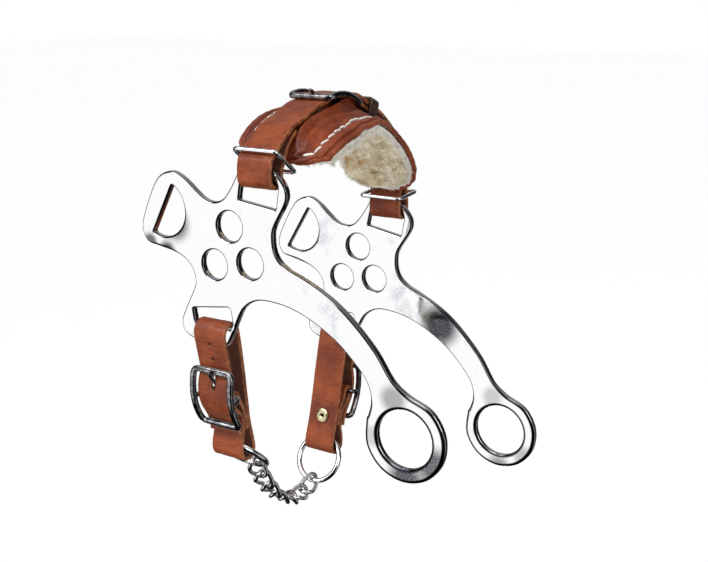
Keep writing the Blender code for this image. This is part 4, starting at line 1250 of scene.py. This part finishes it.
def chain(start, end):
    """Seven twisted links from ring to ring."""
    ring_bite = RING_WIRE_R + LINK_WIRE_R + RING_PLAY
    link_bite = 2 * LINK_WIRE_R + LINK_PLAY
    lengths = [LINK_LONG - link_bite] * LINKS
    lengths[0] = lengths[-1] = LINK_LONG - ring_bite - link_bite / 2
    lengths[OPEN_AFTER - 1] -= OPEN_PLAY
    place = Vector(start)
    u, v = resample(stadium(LINK_LONG / 2, LINK_WIDE / 2, 20), 0.55, True).T
    for i, (way, length) in enumerate(zip(hang(start, end, lengths), lengths)):
        back = ring_bite if i == 0 else link_bite / 2
        center = place + way * (LINK_LONG / 2 - back)
        sideways = way.cross(Z).normalized()
        turn = Matrix((way, sideways, way.cross(sideways))).transposed().to_4x4()
        twist = LINK_TWIST * (u / (LINK_LONG / 2) + (i - LINKS // 2) / (LINKS // 2))
        path = np.stack([u, v * np.cos(twist), v * np.sin(twist)], 1)
        wire, at = oval(LINK_WIRE_R, LINK_WIRE_R), Matrix.Translation(center) @ turn
        made = tube(f"curb_link_{i + 1}", path, wire, CHAIN, True, at)
        attach(made, f"link_{i + 1}", "chain_metal", f"chain_link_{i + 1}")
        place = place + way * length


# ---------------------------------------------------------------- assembly


def attach(piece, body, slot, *nodes):
    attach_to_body(piece, body)
    if nodes:
        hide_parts(*nodes)
    return piece


def build_noseband():
    attach(near_noseband_strap(), "noseband", "strap_leather", "noseband_strap_near")
    attach(far_noseband_strap(), "noseband", "strap_leather", "noseband_strap_far")
    pad = attach(leather_pad(), "noseband", "pad_leather", "noseband_pad")
    lining = attach(fleece(), "noseband", "fleece", "noseband_fleece")
    attach(wool_nap(), "noseband", "fleece")
    attach(wool_fringe(), "noseband", "fleece")
    attach(pad_piping(), "noseband", "pad_leather")
    attach(pad_stitches(), "noseband", "pad_leather")
    attach(nose_buckle(), "noseband", "buckle_metal", "noseband_buckle_frame")
    attach(nose_tongue(), "noseband_tongue", "buckle_metal", "noseband_buckle_tongue")
    attach(leather_keeper(), "billet_keeper", "keeper_leather", "noseband_billet_keeper")
    for side, word in WORDS.items():
        attach(metal_keeper(side), f"{word}_keeper_ring", "ring_metal", f"{word}_strap_ring")


def build_side(side):
    """A cheek with its curb strap, buckle, rivet and ring; returns where the chain joins the ring."""
    word, lean, ring_tilt = WORDS[side], LEAN[side], RING_TILT[side]
    top = Vector((0, *nose(side * HALF_SPAN, 0)))
    turn = Matrix.Rotation(FAR_TURN if side > 0 else 0, 4, "Y")
    attach(cheek(side, Matrix.Translation(top) @ turn), f"{word}_cheek", "cheek_metal", f"{word}_cheek_plate")
    low = top + turn.to_3x3() @ Vector((LOW_BAR[0] - TOP_BAR[0], 0, TOP_BAR[1] - LOW_BAR[1]))
    curb = Matrix.Translation(low) @ Matrix.Rotation(-side * lean, 4, "X")
    strip = attach(curb_strap(side, curb), f"{word}_curb", "strap_leather", f"{word}_curb_strap")
    strip.visible_glossy = side > 0
    attach(curb_buckle(side, curb), f"{word}_curb", "buckle_metal", f"{word}_curb_buckle_frame")
    attach(rivet(side, curb), f"{word}_curb", "rivet_metal", f"{word}_curb_rivet")
    at_bar = curb @ Matrix.Translation((0, side * CURB_BAR[1], -CURB_BAR[0]))
    attach(curb_tongue(side, at_bar), f"{word}_tongue", "buckle_metal", f"{word}_curb_buckle_tongue")
    down = Vector((0, -side * math.sin(lean), -math.cos(lean)))
    out = Vector((0, side * math.cos(lean), -math.sin(lean)))
    hinge = low + down * RING_PIVOT_A + out * RING_PIVOT_B
    ring_at = Matrix.Translation(hinge) @ Matrix.Rotation(-side * ring_tilt, 4, "X")
    attach(curb_ring(side, ring_at), f"{word}_ring", "ring_metal", f"{word}_curb_ring")
    return hinge + Vector((0, -side * math.sin(ring_tilt), -math.cos(ring_tilt))) * (RING_SEAT + RING_R)


# ---------------------------------------------------------------- stage

FLOOR_Z = -0.46
FLOOR_HALF = 9.0
LENS = 55.93
CAMERA_AT = (0.3027, -0.4651, 0.0683)
CAMERA_RIGHT = (0.8453, 0.5342, 0.0)
CAMERA_UP = (-0.1368, 0.2164, 0.9667)
CAMERA_BACK = (0.5164, -0.8172, 0.256)
# What the metal mirrors, as (direction, cosine where the light starts, cosine where it is full, level)
ROOM_LIGHTS = (
    ((-0.52, -0.82, -0.26), 0.84, 0.92, 1.3),
    ((0.1, -0.1, 1), 0.62, 0.85, 0.8),
    ((0.9, -0.35, 0.25), 0.9, 0.98, 0.7),
    ((-0.5, 0.85, 0.0), 0.45, 0.85, 0.6),
    ((0.95, 0.2, -0.35), 0.84, 0.96, 0.6),
)
ROOM_DARK = 0.015


def camera():
    data = bpy.data.cameras.new("camera")
    data.lens = LENS
    data.sensor_width = 36
    made = new_object("camera", data)
    turn = Matrix((CAMERA_RIGHT, CAMERA_UP, CAMERA_BACK)).transposed().to_4x4()
    made.matrix_world = Matrix.Translation(CAMERA_AT) @ turn
    bpy.context.scene.camera = made


def floor():
    mesh = bpy.data.meshes.new("floor")
    corners = ((-1, -1), (1, -1), (1, 1), (-1, 1))
    mesh.from_pydata([(x * FLOOR_HALF, y * FLOOR_HALF, FLOOR_Z) for x, y in corners], [], [(0, 1, 2, 3)])
    mesh.materials.append(Look("pale_floor").finish((0.99, 0.99, 0.99), 0.9, Specular_IOR_Level=0.0))
    made = new_object("floor", mesh)
    made.visible_glossy = False


def aimed(name, kind, place, goal, **settings):
    """A light at a place, pointing to its goal."""
    data = bpy.data.lights.new(name, kind)
    for key, value in settings.items():
        setattr(data, key, value)
    made = new_object(name, data)
    made.location = place
    made.rotation_euler = (Vector(goal) - Vector(place)).to_track_quat("-Z", "Y").to_euler()


def studio():
    """A dark room with soft lights, which the object mirrors; the camera itself sees plain white."""
    world = bpy.data.worlds.new("studio")
    world.use_nodes = True
    tree = world.node_tree
    tree.nodes.clear()
    bpy.context.scene.world = world
    place = add_node(tree, "ShaderNodeTexCoord").outputs["Generated"]
    level = ROOM_DARK
    for way, start, full, light in ROOM_LIGHTS:
        ways = {0: place, 1: Vector(way).normalized()}
        facing = add_node(tree, "ShaderNodeVectorMath", ways, operation="DOT_PRODUCT").outputs["Value"]
        limits = {0: facing, 1: start, 2: full, 3: 0.0, 4: light}
        glow = add_node(tree, "ShaderNodeMapRange", limits, interpolation_type="SMOOTHSTEP").outputs[0]
        level = add_node(tree, "ShaderNodeMath", {0: level, 1: glow}, operation="ADD").outputs[0]
    seen = add_node(tree, "ShaderNodeBackground", {"Color": (1, 1, 1, 1), "Strength": 1.0}).outputs[0]
    mirrored = add_node(tree, "ShaderNodeBackground", {"Strength": level}).outputs[0]
    by_camera = add_node(tree, "ShaderNodeLightPath").outputs["Is Camera Ray"]
    mix = add_node(tree, "ShaderNodeMixShader", {0: by_camera, 1: mirrored, 2: seen}).outputs[0]
    add_node(tree, "ShaderNodeOutputWorld", {"Surface": mix})
    aimed("key", "SUN", (-0.5, -1.1, 1.3), (0, 0, 0), energy=2.6, angle=math.radians(50))
    aimed("fill", "AREA", (1.2, -0.8, 0.5), (0.03, 0, -0.1), energy=6, size=0.8)
    bpy.context.scene.view_settings.view_transform = "Standard"


camera()
build_noseband()
chain(build_side(-1), build_side(1))
floor()
studio()
